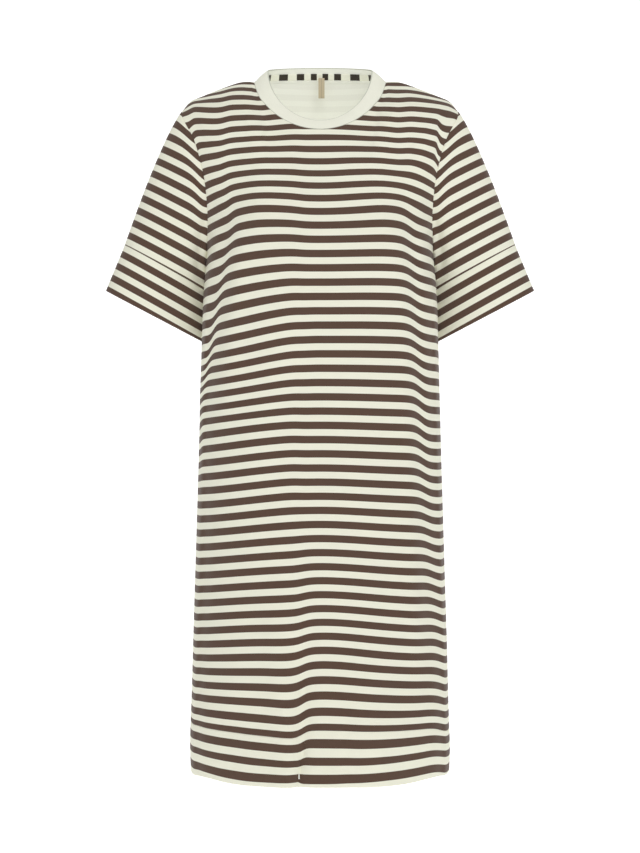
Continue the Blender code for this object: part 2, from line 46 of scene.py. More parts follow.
def softStep(low, high, x):  # 0 before low, 1 after high, an even S between
    t = np.clip((x - low) / (high - low), 0.0, 1.0)
    return t * t * (3 - 2 * t)


def unit(vectors):  # each vector divided by its length
    return vectors / np.linalg.norm(vectors, axis=-1, keepdims=True)


def tableLine(at, across, values):  # smooth line through a table: cubic pieces with the neighbours' slopes
    across = np.asarray(across, float)
    values = np.asarray(values, float)
    slope = np.gradient(values, across)
    cell = np.clip(np.searchsorted(across, at) - 1, 0, len(across) - 2)
    step = across[cell + 1] - across[cell]
    t = np.clip((at - across[cell]) / step, 0.0, 1.0)
    low = (2 * t ** 3 - 3 * t ** 2 + 1) * values[cell] + (t ** 3 - 2 * t ** 2 + t) * step * slope[cell]
    return low + (3 * t ** 2 - 2 * t ** 3) * values[cell + 1] + (t ** 3 - t ** 2) * step * slope[cell + 1]


def splineWeights(places, wanted):  # natural cubic spline as a matrix: weights of the values at 'places'
    count = len(places)
    gap = np.diff(places)
    bend = np.eye(count)
    pull = np.zeros((count, count))
    k = np.arange(1, count - 1)
    bend[k, k - 1] = gap[:-1]
    bend[k, k] = 2 * (gap[:-1] + gap[1:])
    bend[k, k + 1] = gap[1:]
    pull[k, k - 1] = 6 / gap[:-1]
    pull[k, k] = -6 / gap[:-1] - 6 / gap[1:]
    pull[k, k + 1] = 6 / gap[1:]
    second = np.linalg.solve(bend, pull)
    cell = np.clip(np.searchsorted(places, wanted, side="right") - 1, 0, count - 2)
    b = ((wanted - places[cell]) / gap[cell])[:, None]
    a = 1 - b
    size = gap[cell][:, None] ** 2 / 6
    flat = np.eye(count)
    bendLow = (a ** 3 - a) * second[cell]
    bendHigh = (b ** 3 - b) * second[cell + 1]
    return a * flat[cell] + b * flat[cell + 1] + size * (bendLow + bendHigh)


def brokenSpline(places, wanted, breaks):  # the same, in stretches that meet at sharp corners
    weights = np.zeros((len(wanted), len(places)))
    edges = [0, *breaks, len(places) - 1]
    for first, last in zip(edges[:-1], edges[1:]):
        here = (wanted >= places[first]) & (wanted <= places[last])
        weights[here] = 0
        weights[np.ix_(here, range(first, last + 1))] = splineWeights(places[first:last + 1], wanted[here])
    return weights


def between(marks, parts, firstSteps=(), lastSteps=()):  # even steps an interval, finer ones at the ends
    index = np.arange((len(marks) - 1) * parts + 1) / parts
    end = len(marks) - 1
    index = index[(index == 0) | (index >= 1 if firstSteps else index > 0)]
    index = index[(index == end) | (index <= end - 1 if lastSteps else index < end)]
    index = np.unique(np.concatenate([index, firstSteps, [end - step for step in lastSteps]]))
    return np.interp(index, np.arange(len(marks)), marks)


def acrossNormals(grid, closed):  # normals of a grid: cross product of its steps across and along
    if closed:
        across = np.roll(grid, -1, axis=1) - np.roll(grid, 1, axis=1)
    else:
        across = np.gradient(grid, axis=1)
    return unit(np.cross(across, np.gradient(grid, axis=0)))


def distanceTo(points, line):  # how far each point is from a line, and how far along the line that is
    flat = points.reshape(-1, 3)
    along = np.concatenate([[0], np.cumsum(np.linalg.norm(np.diff(line, axis=0), axis=1))])
    square = np.sum(flat ** 2, axis=1)[:, None] + np.sum(line ** 2, axis=1) - 2 * flat @ line.T
    nearest = np.argmin(square, axis=1)
    away = np.linalg.norm(flat - line[nearest], axis=1)
    return away.reshape(points.shape[:-1]), along[nearest].reshape(points.shape[:-1])


# Body form: the same named sizes as the CAD solids

body = {
    "wall": 0.0016, "hemZ": -1.012, "hemSeamZ": -0.937, "underarmZ": -0.250, "shoulderZ": -0.043,
    "neckFrontZ": -0.080, "neckBackZ": 0.011, "shoulderHalf": 0.200,
    "neckHalf": 0.0965, "neckFrontY": 0.076, "neckBackY": 0.066, "neckFrontPower": 1.25, "neckBackPower": 1.2,
    "armFrontY": 0.054, "armBackY": 0.052, "armRingPower": 0.9,
    "neckColumns": 8, "shoulderColumns": 8, "neckEven": 0.35, "shoulderEven": 0.30,
    "bandRows": 3, "bodyRows": 15, "yokeRows": 13,
    "yokePower": 2.3, "armPower": 0.80, "neckRound": 1.10, "shoulderRound": 0.55, "roundFrom": 0.40,
    "seamBlend": 0.80, "topPower": 1.6, "topSlope": 3, "armPullPower": 3, "armLiftPower": 1.6,
    "yokeBlend": 0.5, "cornerFrom": 0.80, "cornerRise": 0.70,
    "fairRounds": 18, "fairPush": 0.50, "fairPull": -0.47, "fairLeadRows": 3,
    "fineColumns": 4, "fineBandRows": 8, "fineBodyRows": 13, "fineYokeRows": 9,
}
sideLine = {
    "height": (-1.012, -0.980, -0.906, -0.760, -0.613, -0.460, -0.373, -0.300, -0.250),
    "halfWidth": (0.1892, 0.1905, 0.1884, 0.1842, 0.1797, 0.1754, 0.1731, 0.1700, 0.1658),
    "power": (2.15, 2.20, 2.28, 2.30, 2.35, 2.40, 2.50, 2.62, 2.75),
}
centreLine = {
    "height": (-1.012, -0.906, -0.760, -0.613, -0.460, -0.373, -0.300, -0.250,
               -0.200, -0.160, -0.120, -0.080, -0.040, 0.000, 0.011),
    "front": (0.127, 0.126, 0.125, 0.125, 0.128, 0.130, 0.130, 0.128,
              0.118, 0.107, 0.093, 0.076, 0.060, 0.050, 0.048),
    "back": (0.117, 0.114, 0.110, 0.106, 0.102, 0.102, 0.105, 0.108,
             0.109, 0.109, 0.106, 0.100, 0.090, 0.074, 0.066),
}
armLine = {
    "turn": (0, 30, 60, 90, 120, 150, 180),
    "front": (0.2005, 0.1998, 0.1812, 0.1676, 0.1628, 0.1640, 0.1658),
    "back": (0.2000, 0.1965, 0.1870, 0.1785, 0.1715, 0.1675, 0.1658),
}
shoulderLine = {
    "across": (0.0965, 0.1050, 0.1240, 0.1370, 0.1560, 0.1670, 0.1800, 0.1930, 0.2000),
    "height": (0.0000, 0.0008, -0.0025, -0.0072, -0.0143, -0.0192, -0.0246, -0.0322, -0.0430),
}
mainFolds = {  # the solids' folds: line from top to bottom, width, and how far they stand out or in
    "front": (
        {"x": (-0.127, -0.146, -0.170), "z": (-0.16, -0.33, -0.52), "wide": 0.014, "deep": -0.0060},
        {"x": (-0.108, -0.124, -0.146), "z": (-0.18, -0.34, -0.56), "wide": 0.018, "deep": 0.0040},
        {"x": (0.126, 0.143, 0.163), "z": (-0.16, -0.45, -0.88), "wide": 0.013, "deep": -0.0055},
        {"x": (0.106, 0.122, 0.140), "z": (-0.18, -0.45, -0.86), "wide": 0.018, "deep": 0.0040},
        {"x": (-0.070, -0.052, -0.045), "z": (-0.70, -0.86, -1.03), "wide": 0.022, "deep": 0.0060},
        {"x": (-0.030, -0.024, -0.030), "z": (-0.78, -0.90, -1.03), "wide": 0.012, "deep": -0.0065},
        {"x": (0.060, 0.066, 0.072), "z": (-0.76, -0.90, -1.03), "wide": 0.030, "deep": 0.0035},
    ),
    "back": (
        {"x": (-0.100, -0.108, -0.112), "z": (-0.22, -0.50, -0.90), "wide": 0.020, "deep": -0.0060},
        {"x": (-0.066, -0.070, -0.078), "z": (-0.30, -0.60, -1.03), "wide": 0.024, "deep": 0.0050},
        {"x": (0.020, 0.014, 0.006), "z": (-0.40, -0.70, -1.03), "wide": 0.022, "deep": -0.0055},
        {"x": (0.104, 0.112, 0.120), "z": (-0.20, -0.48, -0.86), "wide": 0.019, "deep": -0.0060},
        {"x": (0.070, 0.078, 0.086), "z": (-0.36, -0.66, -1.03), "wide": 0.024, "deep": 0.0045},
    ),
}
foldEnds = {"fade": 0.10, "edge": 0.88, "riseEnd": 0.9, "riseStart": 0.3}  # where the folds die away
facing = {"front": -1.0, "back": 1.0}
hemSeam = {"level": -0.9317, "above": 0.12}  # the seam follows the stripes, so it hangs at the sides too
hemLift = {"tall": 0.0050, "at": 0.88, "wide": 0.17}  # the hem rises a little at its four corners


# Stripes: a cloth height for each point, which the shader cuts into bands

stripes = {"pitch": 0.020, "brownShare": 0.525}
levels = {  # number of the brown band seen at each height of the centre front, counted down from the neck
    "height": (-1.080, -1.040, -1.0074, -0.9962, -0.9816, -0.9704, -0.9499, -0.9283, -0.9057, -0.8828,
               -0.8612, -0.8400, -0.8195, -0.7996, -0.7609, -0.7021, -0.6032, -0.5035, -0.2423, -0.2022,
               -0.1829, -0.1643, -0.1282, -0.0922, -0.0762, -0.0282, 0.0800),
    "band": (48.08, 45.62, 45.18, 44.66, 44.18, 43.66, 42.92, 42, 41, 40,
             39, 38, 37, 36, 34, 31, 26, 21, 8, 6,
             5, 4, 2, 0, -1, -4, -10.8),
}
hemBandStart = 42.92  # band number at the hem seam, where the hem band starts with a brown band's middle
# How far out the sag still grows, in half widths: low down, how much more higher up, and on the back
stripeReach = {"least": 0.965, "more": 0.135, "between": (-0.85, -0.65), "byBack": 0.995, "mostBack": 1.1}


def levelHeight(z):  # cloth height at a level: band number times the pitch, upwards
    return -stripes["pitch"] * tableLine(z, levels["height"], levels["band"])


sideSag = {  # how far the stripes hang, half way to the side and at it, by height
    "height": (-1.012, -0.976, -0.937, -0.905, -0.870, -0.835, -0.800, -0.700, -0.600, -0.500,
               -0.440, -0.400, -0.360, -0.320, -0.280, -0.240, -0.190, -0.140, -0.090, -0.040),
    "leftMiddle": (0.0028, -0.0032, -0.0035, -0.0025, 0.0005, 0.0018, 0.0023, 0.0045, 0.0068, 0.0058,
                   0.0101, 0.0118, 0.0110, 0.0078, 0.0043, 0.0005, -0.0027, 0.0001, 0.0037, 0.0030),
    "leftEdge": (-0.0148, -0.0124, -0.0111, -0.0025, 0.0051, 0.0106, 0.0132, 0.0153, 0.0170, 0.0178,
                 0.0235, 0.0254, 0.0252, 0.0234, 0.0194, 0.0170, 0.0155, 0.0081, 0.0051, 0.0000),
    "rightMiddle": (-0.0051, -0.0001, 0.0026, 0.0061, 0.0070, 0.0085, 0.0078, 0.0059, 0.0036, 0.0020,
                    0.0011, 0.0003, -0.0002, -0.0007, -0.0012, -0.0019, -0.0050, -0.0022, 0.0035, 0.0035),
    "rightEdge": (-0.0140, -0.0112, 0.0010, 0.0080, 0.0124, 0.0123, 0.0123, 0.0078, 0.0060, 0.0029,
                  0.0034, 0.0034, 0.0038, 0.0038, 0.0049, 0.0052, 0.0086, 0.0169, 0.0129, 0.0100),
}
# Front folds that take up cloth: past their line, from top to bottom, the stripes hang lower by drop
stripeSteps = (
    {"side": -1, "z": (-0.14, -0.22, -0.28, -0.36, -0.40, -0.42, -0.45, -0.48, -0.52, -0.57, -0.62),
     "x": (-0.136, -0.1234, -0.1359, -0.1505, -0.1568, -0.1615, -0.1668, -0.1705, -0.1715, -0.174, -0.176),
     "drop": (0.0042, 0.0054, 0.0081, 0.0136, 0.0165, 0.0170, 0.0110, 0.0072, 0.0070, 0.0030, 0.0),
     "wide": (0.0080, 0.0060, 0.0048, 0.0044, 0.0038, 0.0036, 0.0032, 0.0030, 0.0030, 0.0030, 0.0030)},
    {"side": 1, "z": (-0.13, -0.20, -0.28, -0.40, -0.50, -0.64, -0.80),
     "x": (0.1213, 0.1262, 0.1312, 0.1387, 0.1457, 0.1522, 0.1737),
     "drop": (-0.0060, 0.0091, 0.0121, 0.0142, 0.0161, 0.0114, 0.0125),
     "wide": (0.0118, 0.0118, 0.0118, 0.0105, 0.0100, 0.0118, 0.0118)},
    {"side": -1, "z": (-0.60, -0.74, -0.86, -0.92, -0.96, -0.982, -0.996, -1.03),
     "x": (-0.0298, -0.0231, -0.0231, -0.0232, -0.0234, -0.0250, -0.0270, -0.0310),
     "drop": (-0.0019, 0.0048, 0.0107, 0.0140, 0.0075, 0.0036, -0.0030, -0.0050),
     "wide": (0.0117, 0.0117, 0.0117, 0.0100, 0.0045, 0.0018, 0.0014, 0.0014)},
    {"side": -1, "z": (-0.040, -0.075, -0.090, -0.110, -0.145, -0.170),
     "x": (-0.188, -0.185, -0.182, -0.178, -0.173, -0.170),
     "drop": (0.002, 0.008, 0.009, 0.008, 0.003, 0.0),
     "wide": (0.005, 0.005, 0.005, 0.005, 0.005, 0.005)},
    {"side": 1, "z": (-0.040, -0.054, -0.068, -0.090, -0.113, -0.145, -0.170),
     "x": (0.1765, 0.1755, 0.1745, 0.1725, 0.1685, 0.1680, 0.1680),
     "drop": (0.0, 0.0020, 0.0070, 0.0090, 0.0100, 0.0040, 0.0),
     "wide": (0.0070, 0.0060, 0.0035, 0.0026, 0.0026, 0.0040, 0.0040)},
)
backSwags = (  # back folds: the stripes hang lower along their line only
    {"x": (-0.104, -0.110, -0.114), "z": (-0.20, -0.50, -0.92), "wide": 0.030, "drop": (0.002, 0.006, 0.001)},
    {"x": (0.014, 0.010, 0.006), "z": (-0.40, -0.70, -1.03), "wide": 0.040, "drop": (0.0, 0.004, 0.003)},
    {"x": (0.108, 0.114, 0.120), "z": (-0.18, -0.48, -0.88), "wide": 0.026, "drop": (0.003, 0.007, 0.001)},
)


# Square and cube of the way out, set by the sag half way and at the side, plus the folds' steps
def frontDrop(x, z):
    half = tableLine(z, sideLine["height"], sideLine["halfWidth"])
    reach = stripeReach["least"] + stripeReach["more"] * softStep(*stripeReach["between"], z)
    out = np.clip(np.abs(x) / half, 0, reach)
    sag = {word: np.interp(z, sideSag["height"], sideSag[word]) for word in sideSag if word != "height"}
    middle = np.where(x < 0, sag["leftMiddle"], sag["rightMiddle"])
    edge = np.where(x < 0, sag["leftEdge"], sag["rightEdge"])
    drop = 8 * middle * (out ** 2 - out ** 3) + edge * (2 * out ** 3 - out ** 2)
    for step in stripeSteps:
        line, amount, wide = (np.interp(z, step["z"][::-1], step[part][::-1])
                              for part in ("x", "drop", "wide"))
        drop = drop + amount * 0.5 * (1 + np.tanh(step["side"] * (x - line) / wide))
    return drop


# The back takes the front's drop at the side seams, evened towards the middle, plus a bell for each swag
def stripeDrop(panel, x, z):
    if panel == "front":
        return frontDrop(x, z)
    half = tableLine(z, sideLine["height"], sideLine["halfWidth"])
    atSide = frontDrop(np.sign(x) * half * stripeReach["byBack"], z)
    drop = atSide * np.clip(np.abs(x) / half, 0, stripeReach["mostBack"]) ** 2
    for swag in backSwags:
        line, amount = (tableLine(z, swag["z"][::-1], swag[part][::-1]) for part in ("x", "drop"))
        drop = drop + amount * np.exp(-((x - line) / swag["wide"]) ** 2)
    return drop


def neckRing(turn):  # neck seam: ellipse in plan, low at the front (turn 0) and a little high at the back
    front = np.cos(turn) > 0
    cos = np.abs(np.cos(turn))
    y = np.where(front, -body["neckFrontY"], body["neckBackY"]) * cos
    z = np.where(front, body["neckFrontZ"] * cos ** body["neckFrontPower"],
                 body["neckBackZ"] * cos ** body["neckBackPower"])
    return np.stack([body["neckHalf"] * np.sin(turn), y, z], axis=-1)


def armRing(turn, side):  # armhole seam: an ellipse seen from the side, its half width from the table
    degrees = np.degrees(turn)
    front = degrees <= 180.0
    fromTop = np.where(front, degrees, 360.0 - degrees)
    half = np.where(front, tableLine(fromTop, armLine["turn"], armLine["front"]),
                    tableLine(fromTop, armLine["turn"], armLine["back"]))
    middle = (body["shoulderZ"] + body["underarmZ"]) / 2
    tall = (body["shoulderZ"] - body["underarmZ"]) / 2
    y = np.where(front, -body["armFrontY"], body["armBackY"]) * np.abs(np.sin(turn)) ** body["armRingPower"]
    return np.stack([side * half, y, middle + tall * np.cos(turn)], axis=-1)


def spaced(columns, even):  # places from 0 to 1 that stand closer together towards 1
    k = np.linspace(0.0, 1.0, columns + 1)
    return even * k + (1 - even) * np.sin(k * math.pi / 2)


def columnMarks():  # columns from the left edge (-1) to the right (1), one at each neck end of the shoulder
    neckEnd = body["neckHalf"] / body["shoulderHalf"]
    inner = neckEnd * spaced(body["neckColumns"], body["neckEven"])
    outer = neckEnd + (1 - neckEnd) * spaced(body["shoulderColumns"], body["shoulderEven"])[1:]
    half = np.concatenate([inner, outer])
    return np.concatenate([-half[:0:-1], half])


def foldDepth(panel, x, z):  # sum of bells across each fold's line, faded along it
    total = np.zeros_like(x)
    for fold in mainFolds[panel]:
        line = tableLine(z, fold["z"][::-1], fold["x"][::-1])
        top, bottom = fold["z"][0], fold["z"][-1]
        along = softStep(top, top - foldEnds["fade"], z)
        if bottom > body["hemZ"]:
            along = along * softStep(bottom, bottom + foldEnds["fade"], z)
        total += fold["deep"] * along * np.exp(-((x - line) / fold["wide"]) ** 2)
    return total


def lowerForm(panel, marks, heights):  # level sections: depth = centre * (1 - out^power)^(1/power)
    z, u = np.meshgrid(heights, marks, indexing="ij")
    half = tableLine(z, sideLine["height"], sideLine["halfWidth"])
    atCorner = np.exp(-((np.abs(u) - hemLift["at"]) / hemLift["wide"]) ** 2)
    corner = atCorner * softStep(body["hemSeamZ"], body["hemZ"], z)
    z = z + seamShift(panel, u * half, z) + hemLift["tall"] * corner
    power = tableLine(z, sideLine["height"], sideLine["power"])
    centre = tableLine(z, centreLine["height"], centreLine[panel])
    depth = centre * (1 - np.abs(u) ** power) ** (1 / power)
    return np.stack([u * half, facing[panel] * depth, z], axis=-1)


# Rows from the underarm (0) to shoulder and neck (1): depth runs from the armhole's to the centre's
def upperForm(panel, marks, rises):
    rise, u = np.meshgrid(rises, marks, indexing="ij")
    turn = math.pi * (1 - rise)
    edge = armRing(turn if panel == "front" else 2 * math.pi - turn, 1.0)
    out = np.abs(u)
    across = out * body["shoulderHalf"]
    onNeck = across < body["neckHalf"]
    neckSin = np.clip(across / body["neckHalf"], 0.0, 1.0)
    ring = neckRing(np.arcsin(neckSin) if panel == "front" else math.pi - np.arcsin(neckSin))
    top = np.where(onNeck, ring[..., 2], tableLine(across, shoulderLine["across"], shoulderLine["height"]))
    level = body["underarmZ"] + (top - body["underarmZ"]) * rise
    byArm = edge[..., 2] + (top - body["shoulderZ"]) * rise ** body["armLiftPower"]
    pull = out ** body["armPullPower"]
    z = (1 - pull) * level + pull * byArm
    centreTop = body["neckFrontZ"] if panel == "front" else body["neckBackZ"]
    centreZ = body["underarmZ"] + (centreTop - body["underarmZ"]) * rise
    centre = tableLine(centreZ, centreLine["height"], centreLine[panel])
    side = np.abs(edge[..., 1])
    lowPower = sideLine["power"][-1]
    blend = softStep(0.0, body["yokeBlend"], rise)
    power = lowPower + (body["yokePower"] - lowPower) * blend
    slope = 1 / lowPower + (body["armPower"] - 1 / lowPower) * blend
    chest = (1 - out ** power) ** slope
    atSeams = np.where(onNeck, np.sqrt(1 - neckSin ** 2), 0.0)
    bySeams = softStep(body["seamBlend"], 1.0, rise)
    topShape = bySeams * atSeams + (1 - bySeams) * (1 - out ** body["topPower"]) ** body["topSlope"]
    byNeck, byArmhole = body["neckRound"], body["shoulderRound"]
    roundness = byNeck + (byArmhole - byNeck) * softStep(body["roundFrom"], 1.0, out)
    fade = (1 - rise ** 2) ** roundness
    depth = side + (centre - side) * (fade * chest + (1 - fade) * topShape)
    return np.stack([u * edge[..., 0], facing[panel] * depth, z], axis=-1)


def fair(grid, firstRow):  # rows above firstRow move to the mean of their neighbours and part way back
    rows = np.arange(grid.shape[0])[:, None, None]
    weight = softStep(firstRow, firstRow + body["fairLeadRows"], rows.astype(float))[1:-1]
    for _ in range(body["fairRounds"]):
        for part in (body["fairPush"], body["fairPull"]):
            mean = (grid[:-2, 1:-1] + grid[2:, 1:-1] + grid[1:-1, :-2] + grid[1:-1, 2:]) / 4
            grid[1:-1, 1:-1] += part * weight * (mean - grid[1:-1, 1:-1])
    return grid


# Rows near the hem seam move to the stripes' level there, and none at the hem or well above
def seamShift(panel, x, z):
    below = softStep(body["hemZ"], body["hemSeamZ"], z)
    above = softStep(body["hemSeamZ"] + hemSeam["above"], body["hemSeamZ"], z)
    target = hemSeam["level"] - stripeDrop(panel, x, np.full_like(x, hemSeam["level"]))
    return below * above * (target - body["hemSeamZ"])


fineSteps = {  # fine rows and columns beside the seams, in steps of the control grid
    "stitch": (0.0, 0.08, 0.17, 0.28, 0.42, 0.60, 0.80), "band": (0.03, 0.06, 0.10, 0.16),
    "skirt": (0.015, 0.03, 0.05, 0.08, 0.14, 0.2, 0.3, 0.4, 0.5, 0.6, 0.7, 0.8, 0.9),
}


# Control grid of one panel, then splines across and along, with sharp corners kept at neck and underarm
def panelForm(panel):
    marks = columnMarks()
    bandRows, bodyRows, yokeRows = body["bandRows"], body["bodyRows"], body["yokeRows"]
    bandHeights = np.linspace(body["hemZ"], body["hemSeamZ"], bandRows + 1)
    bodyHeights = np.linspace(body["hemSeamZ"], body["underarmZ"], bodyRows + 1)
    lower = lowerForm(panel, marks, np.concatenate([bandHeights[:-1], bodyHeights]))
    upper = upperForm(panel, marks, np.linspace(0.0, 1.0, yokeRows + 1))
    coarse = fair(np.concatenate([lower, upper[1:]]), bandRows + bodyRows - body["fairLeadRows"])
    middle = coarse[:, len(marks) // 2]
    rows = np.concatenate([[0], np.cumsum(np.linalg.norm(np.diff(middle, axis=0), axis=1))])
    armRow = bandRows + bodyRows
    stitch, band, skirt = fineSteps["stitch"], fineSteps["band"], fineSteps["skirt"]
    fineRows = np.unique(np.concatenate([
        between(rows[:bandRows + 1], body["fineBandRows"], band, band),
        between(rows[bandRows:armRow + 1], body["fineBodyRows"], skirt),
        between(rows[armRow:], body["fineYokeRows"], (), stitch),
    ]))
    fineMarks = between(marks, body["fineColumns"], stitch, stitch)
    neckEnds = [body["shoulderColumns"], len(marks) - 1 - body["shoulderColumns"]]
    down = splineWeights(rows, fineRows)
    downBroken = brokenSpline(rows, fineRows, [armRow])
    wide = splineWeights(marks, fineMarks)
    wideBroken = brokenSpline(marks, fineMarks, neckEnds)
    atEdge = softStep(body["cornerFrom"], 1.0, np.abs(marks))[None, :, None]
    tall = (np.einsum("fr,rcx->fcx", down, coarse) * (1 - atEdge)
            + np.einsum("fr,rcx->fcx", downBroken, coarse) * atEdge)
    rise = np.interp(fineRows, rows[armRow:], np.linspace(0.0, 1.0, yokeRows + 1))
    rise[fineRows < rows[armRow]] = 0.0
    atTop = softStep(body["cornerRise"], 1.0, rise)[:, None, None]
    grid = (np.einsum("fc,rcx->rfx", wide, tall) * (1 - atTop)
            + np.einsum("fc,rcx->rfx", wideBroken, tall) * atTop)
    offEdge = softStep(1.0, foldEnds["edge"], np.abs(fineMarks)[None, :])
    foldShare = offEdge * softStep(foldEnds["riseEnd"], foldEnds["riseStart"], rise[:, None])
    grid[..., 1] += facing[panel] * foldDepth(panel, grid[..., 0], grid[..., 2]) * foldShare
    return {"grid": grid, "marks": fineMarks, "rise": rise,
            "seamRow": int(np.argmin(np.abs(fineRows - rows[bandRows]))),
            "armRow": int(np.argmin(np.abs(fineRows - rows[armRow])))}


# The strip below the shoulder seam, and how far from the middle it starts
overShoulder = {"from": 0.028, "to": 0.004, "neckFrom": 0.05, "neckTo": 0.10}


# Level height low down, and true length along the cloth in the last strip below the shoulder seam
def clothHeight(panel, grid):
    x, z = grid[..., 0], grid[..., 2]
    level = levelHeight(z + stripeDrop(panel, x, z))
    length = np.linalg.norm(np.diff(grid, axis=0), axis=-1)
    nearTop = softStep(overShoulder["from"], overShoulder["to"], z[-1] - z)
    share = (nearTop * softStep(overShoulder["neckFrom"], overShoulder["neckTo"], np.abs(x)))[1:]
    gain = np.diff(level, axis=0) * (1 - share) + length * share
    return level[:1] + np.concatenate([np.zeros_like(level[:1]), np.cumsum(gain, axis=0)])


def clothAcross(grid):  # distance along each row from the middle column
    step = np.linalg.norm(np.diff(grid, axis=1), axis=-1)
    along = np.concatenate([np.zeros_like(grid[:, :1, 0]), np.cumsum(step, axis=1)], axis=1)
    return along - along[:, grid.shape[1] // 2][:, None]


# Fine relief in the cloth

creases = {  # soft troughs and ridges: from and to (x, z), bow, width and depth
    "front": (
        {"from": (-0.185, -0.050), "to": (-0.150, -0.115), "bow": 0.004, "wide": 0.006, "deep": -0.0014},
        {"from": (-0.176, -0.062), "to": (-0.128, -0.130), "bow": 0.006, "wide": 0.008, "deep": 0.0012},
        {"from": (0.1755, -0.050), "to": (0.1680, -0.132), "bow": 0.000, "wide": 0.0034, "deep": -0.0030},
        {"from": (0.160, -0.060), "to": (0.150, -0.130), "bow": 0.006, "wide": 0.008, "deep": 0.0014},
        {"from": (-0.160, -0.170), "to": (-0.110, -0.260), "bow": 0.008, "wide": 0.010, "deep": -0.0012},
        {"from": (0.160, -0.160), "to": (0.112, -0.265), "bow": -0.008, "wide": 0.010, "deep": -0.0012},
        {"from": (-0.100, -0.130), "to": (-0.060, -0.300), "bow": 0.010, "wide": 0.016, "deep": 0.0012},
        {"from": (0.090, -0.140), "to": (0.070, -0.330), "bow": -0.010, "wide": 0.016, "deep": 0.0010},
        {"from": (-0.150, -0.560), "to": (-0.160, -0.860), "bow": 0.010, "wide": 0.012, "deep": -0.0015},
        {"from": (0.096, -0.600), "to": (0.104, -0.900), "bow": -0.008, "wide": 0.016, "deep": -0.0012},
        {"from": (-0.086, -0.480), "to": (-0.098, -0.760), "bow": 0.008, "wide": 0.018, "deep": 0.0010},
        {"from": (-0.0226, -0.950), "to": (-0.0312, -1.030), "bow": 0.000, "wide": 0.0024, "deep": -0.0048},
        {"from": (-0.120, -0.900), "to": (-0.126, -1.040), "bow": 0.000, "wide": 0.018, "deep": -0.0014},
        {"from": (0.036, -0.900), "to": (0.046, -1.040), "bow": 0.004, "wide": 0.010, "deep": -0.0012},
        {"from": (0.126, -0.900), "to": (0.130, -1.040), "bow": 0.000, "wide": 0.016, "deep": -0.0014},
    ),
    "back": (
        {"from": (-0.178, -0.060), "to": (-0.140, -0.150), "bow": 0.006, "wide": 0.008, "deep": -0.0014},
        {"from": (0.180, -0.056), "to": (0.146, -0.140), "bow": -0.005, "wide": 0.007, "deep": -0.0015},
        {"from": (-0.120, -0.040), "to": (-0.090, -0.180), "bow": 0.010, "wide": 0.014, "deep": 0.0010},
        {"from": (0.116, -0.050), "to": (0.094, -0.190), "bow": -0.010, "wide": 0.013, "deep": 0.0011},
        {"from": (-0.160, -0.190), "to": (-0.100, -0.330), "bow": 0.010, "wide": 0.011, "deep": -0.0013},
        {"from": (0.160, -0.180), "to": (0.104, -0.300), "bow": -0.008, "wide": 0.010, "deep": -0.0013},
        {"from": (-0.030, -0.240), "to": (-0.040, -0.520), "bow": 0.006, "wide": 0.018, "deep": 0.0010},
        {"from": (0.044, -0.300), "to": (0.040, -0.600), "bow": -0.006, "wide": 0.016, "deep": -0.0010},
        {"from": (-0.140, -0.640), "to": (-0.150, -0.920), "bow": 0.006, "wide": 0.012, "deep": -0.0014},
        {"from": (0.146, -0.560), "to": (0.150, -0.840), "bow": -0.006, "wide": 0.012, "deep": 0.0012},
        {"from": (-0.020, -0.880), "to": (-0.030, -1.040), "bow": 0.004, "wide": 0.014, "deep": 0.0012},
        {"from": (0.110, -0.900), "to": (0.116, -1.040), "bow": 0.000, "wide": 0.014, "deep": -0.0014},
    ),
}


def creaseRelief(rows, a, b):  # bell across a bowed line, tapered at both ends, summed over the rows
    total = np.zeros_like(a)
    for row in rows:
        start = np.array(row["from"])
        line = np.array(row["to"]) - start
        size = np.hypot(*line)
        t = ((a - start[0]) * line[0] + (b - start[1]) * line[1]) / size ** 2
        off = ((a - start[0]) * line[1] - (b - start[1]) * line[0]) / size
        off = off - row["bow"] * 4 * t * (1 - t)
        taper = softStep(-0.10, 0.30, t) * softStep(1.10, 0.70, t)
        total += row["deep"] * taper * np.exp(-(off / row["wide"]) ** 2)
    return total


softness = (  # slow waves of the whole cloth: waves per metre across and down, phase, height
    (5.3, 2.1, 0.4, 0.0006), (9.7, -3.7, 2.1, 0.00035), (3.1, 6.1, 4.0, 0.0004), (14.3, 4.9, 1.2, 0.00018),
)


def softWaves(a, b):  # sum of slanted sines, uneven in spacing and height
    total = np.zeros_like(a)
    for across, down, phase, height in softness:
        total += height * np.sin(2 * math.pi * (across * a + down * b) + phase)
    return total


seam = {
    "depth": 0.0009, "roll": 0.0022, "puckerDeep": 0.00022, "puckerWide": 0.007, "puckerLong": 0.011,
    "puckerFrom": 0.002, "stray": 2.2, "strayTurns": 61.0,
}
neckWall = {"side": 0.45, "back": 0.80, "down": 0.62, "downAtSide": 0.25}


# A roll down into the seam, as a quarter circle, with uneven puckers that fade beside it
def seamRelief(away, along, pucker, depth=1.0):
    near = np.clip(1 - away / seam["roll"], 0, 1)
    roll = -seam["depth"] * depth * (1 - np.sqrt(1 - near ** 2))
    stray = seam["stray"] * np.sin(along * seam["strayTurns"])
    wave = np.sin(2 * math.pi * along / seam["puckerLong"] + stray)
    fade = np.exp(-away / seam["puckerWide"]) * softStep(0.0, seam["puckerFrom"], away)
    return roll + pucker * seam["puckerDeep"] * wave * fade


def neckInward(turn):  # shared direction of the walls at the neck seam, from the outside in
    sin = np.sin(turn)
    down = neckWall["down"] + neckWall["downAtSide"] * sin ** 2
    return unit(np.stack([-neckWall["side"] * sin, neckWall["back"] * np.cos(turn), -down], axis=-1))


# Mesh making

shell = {"rimRound": 0.42, "sharpFrom": 60}  # a free rim's bulge in walls, and degrees of a sharp edge


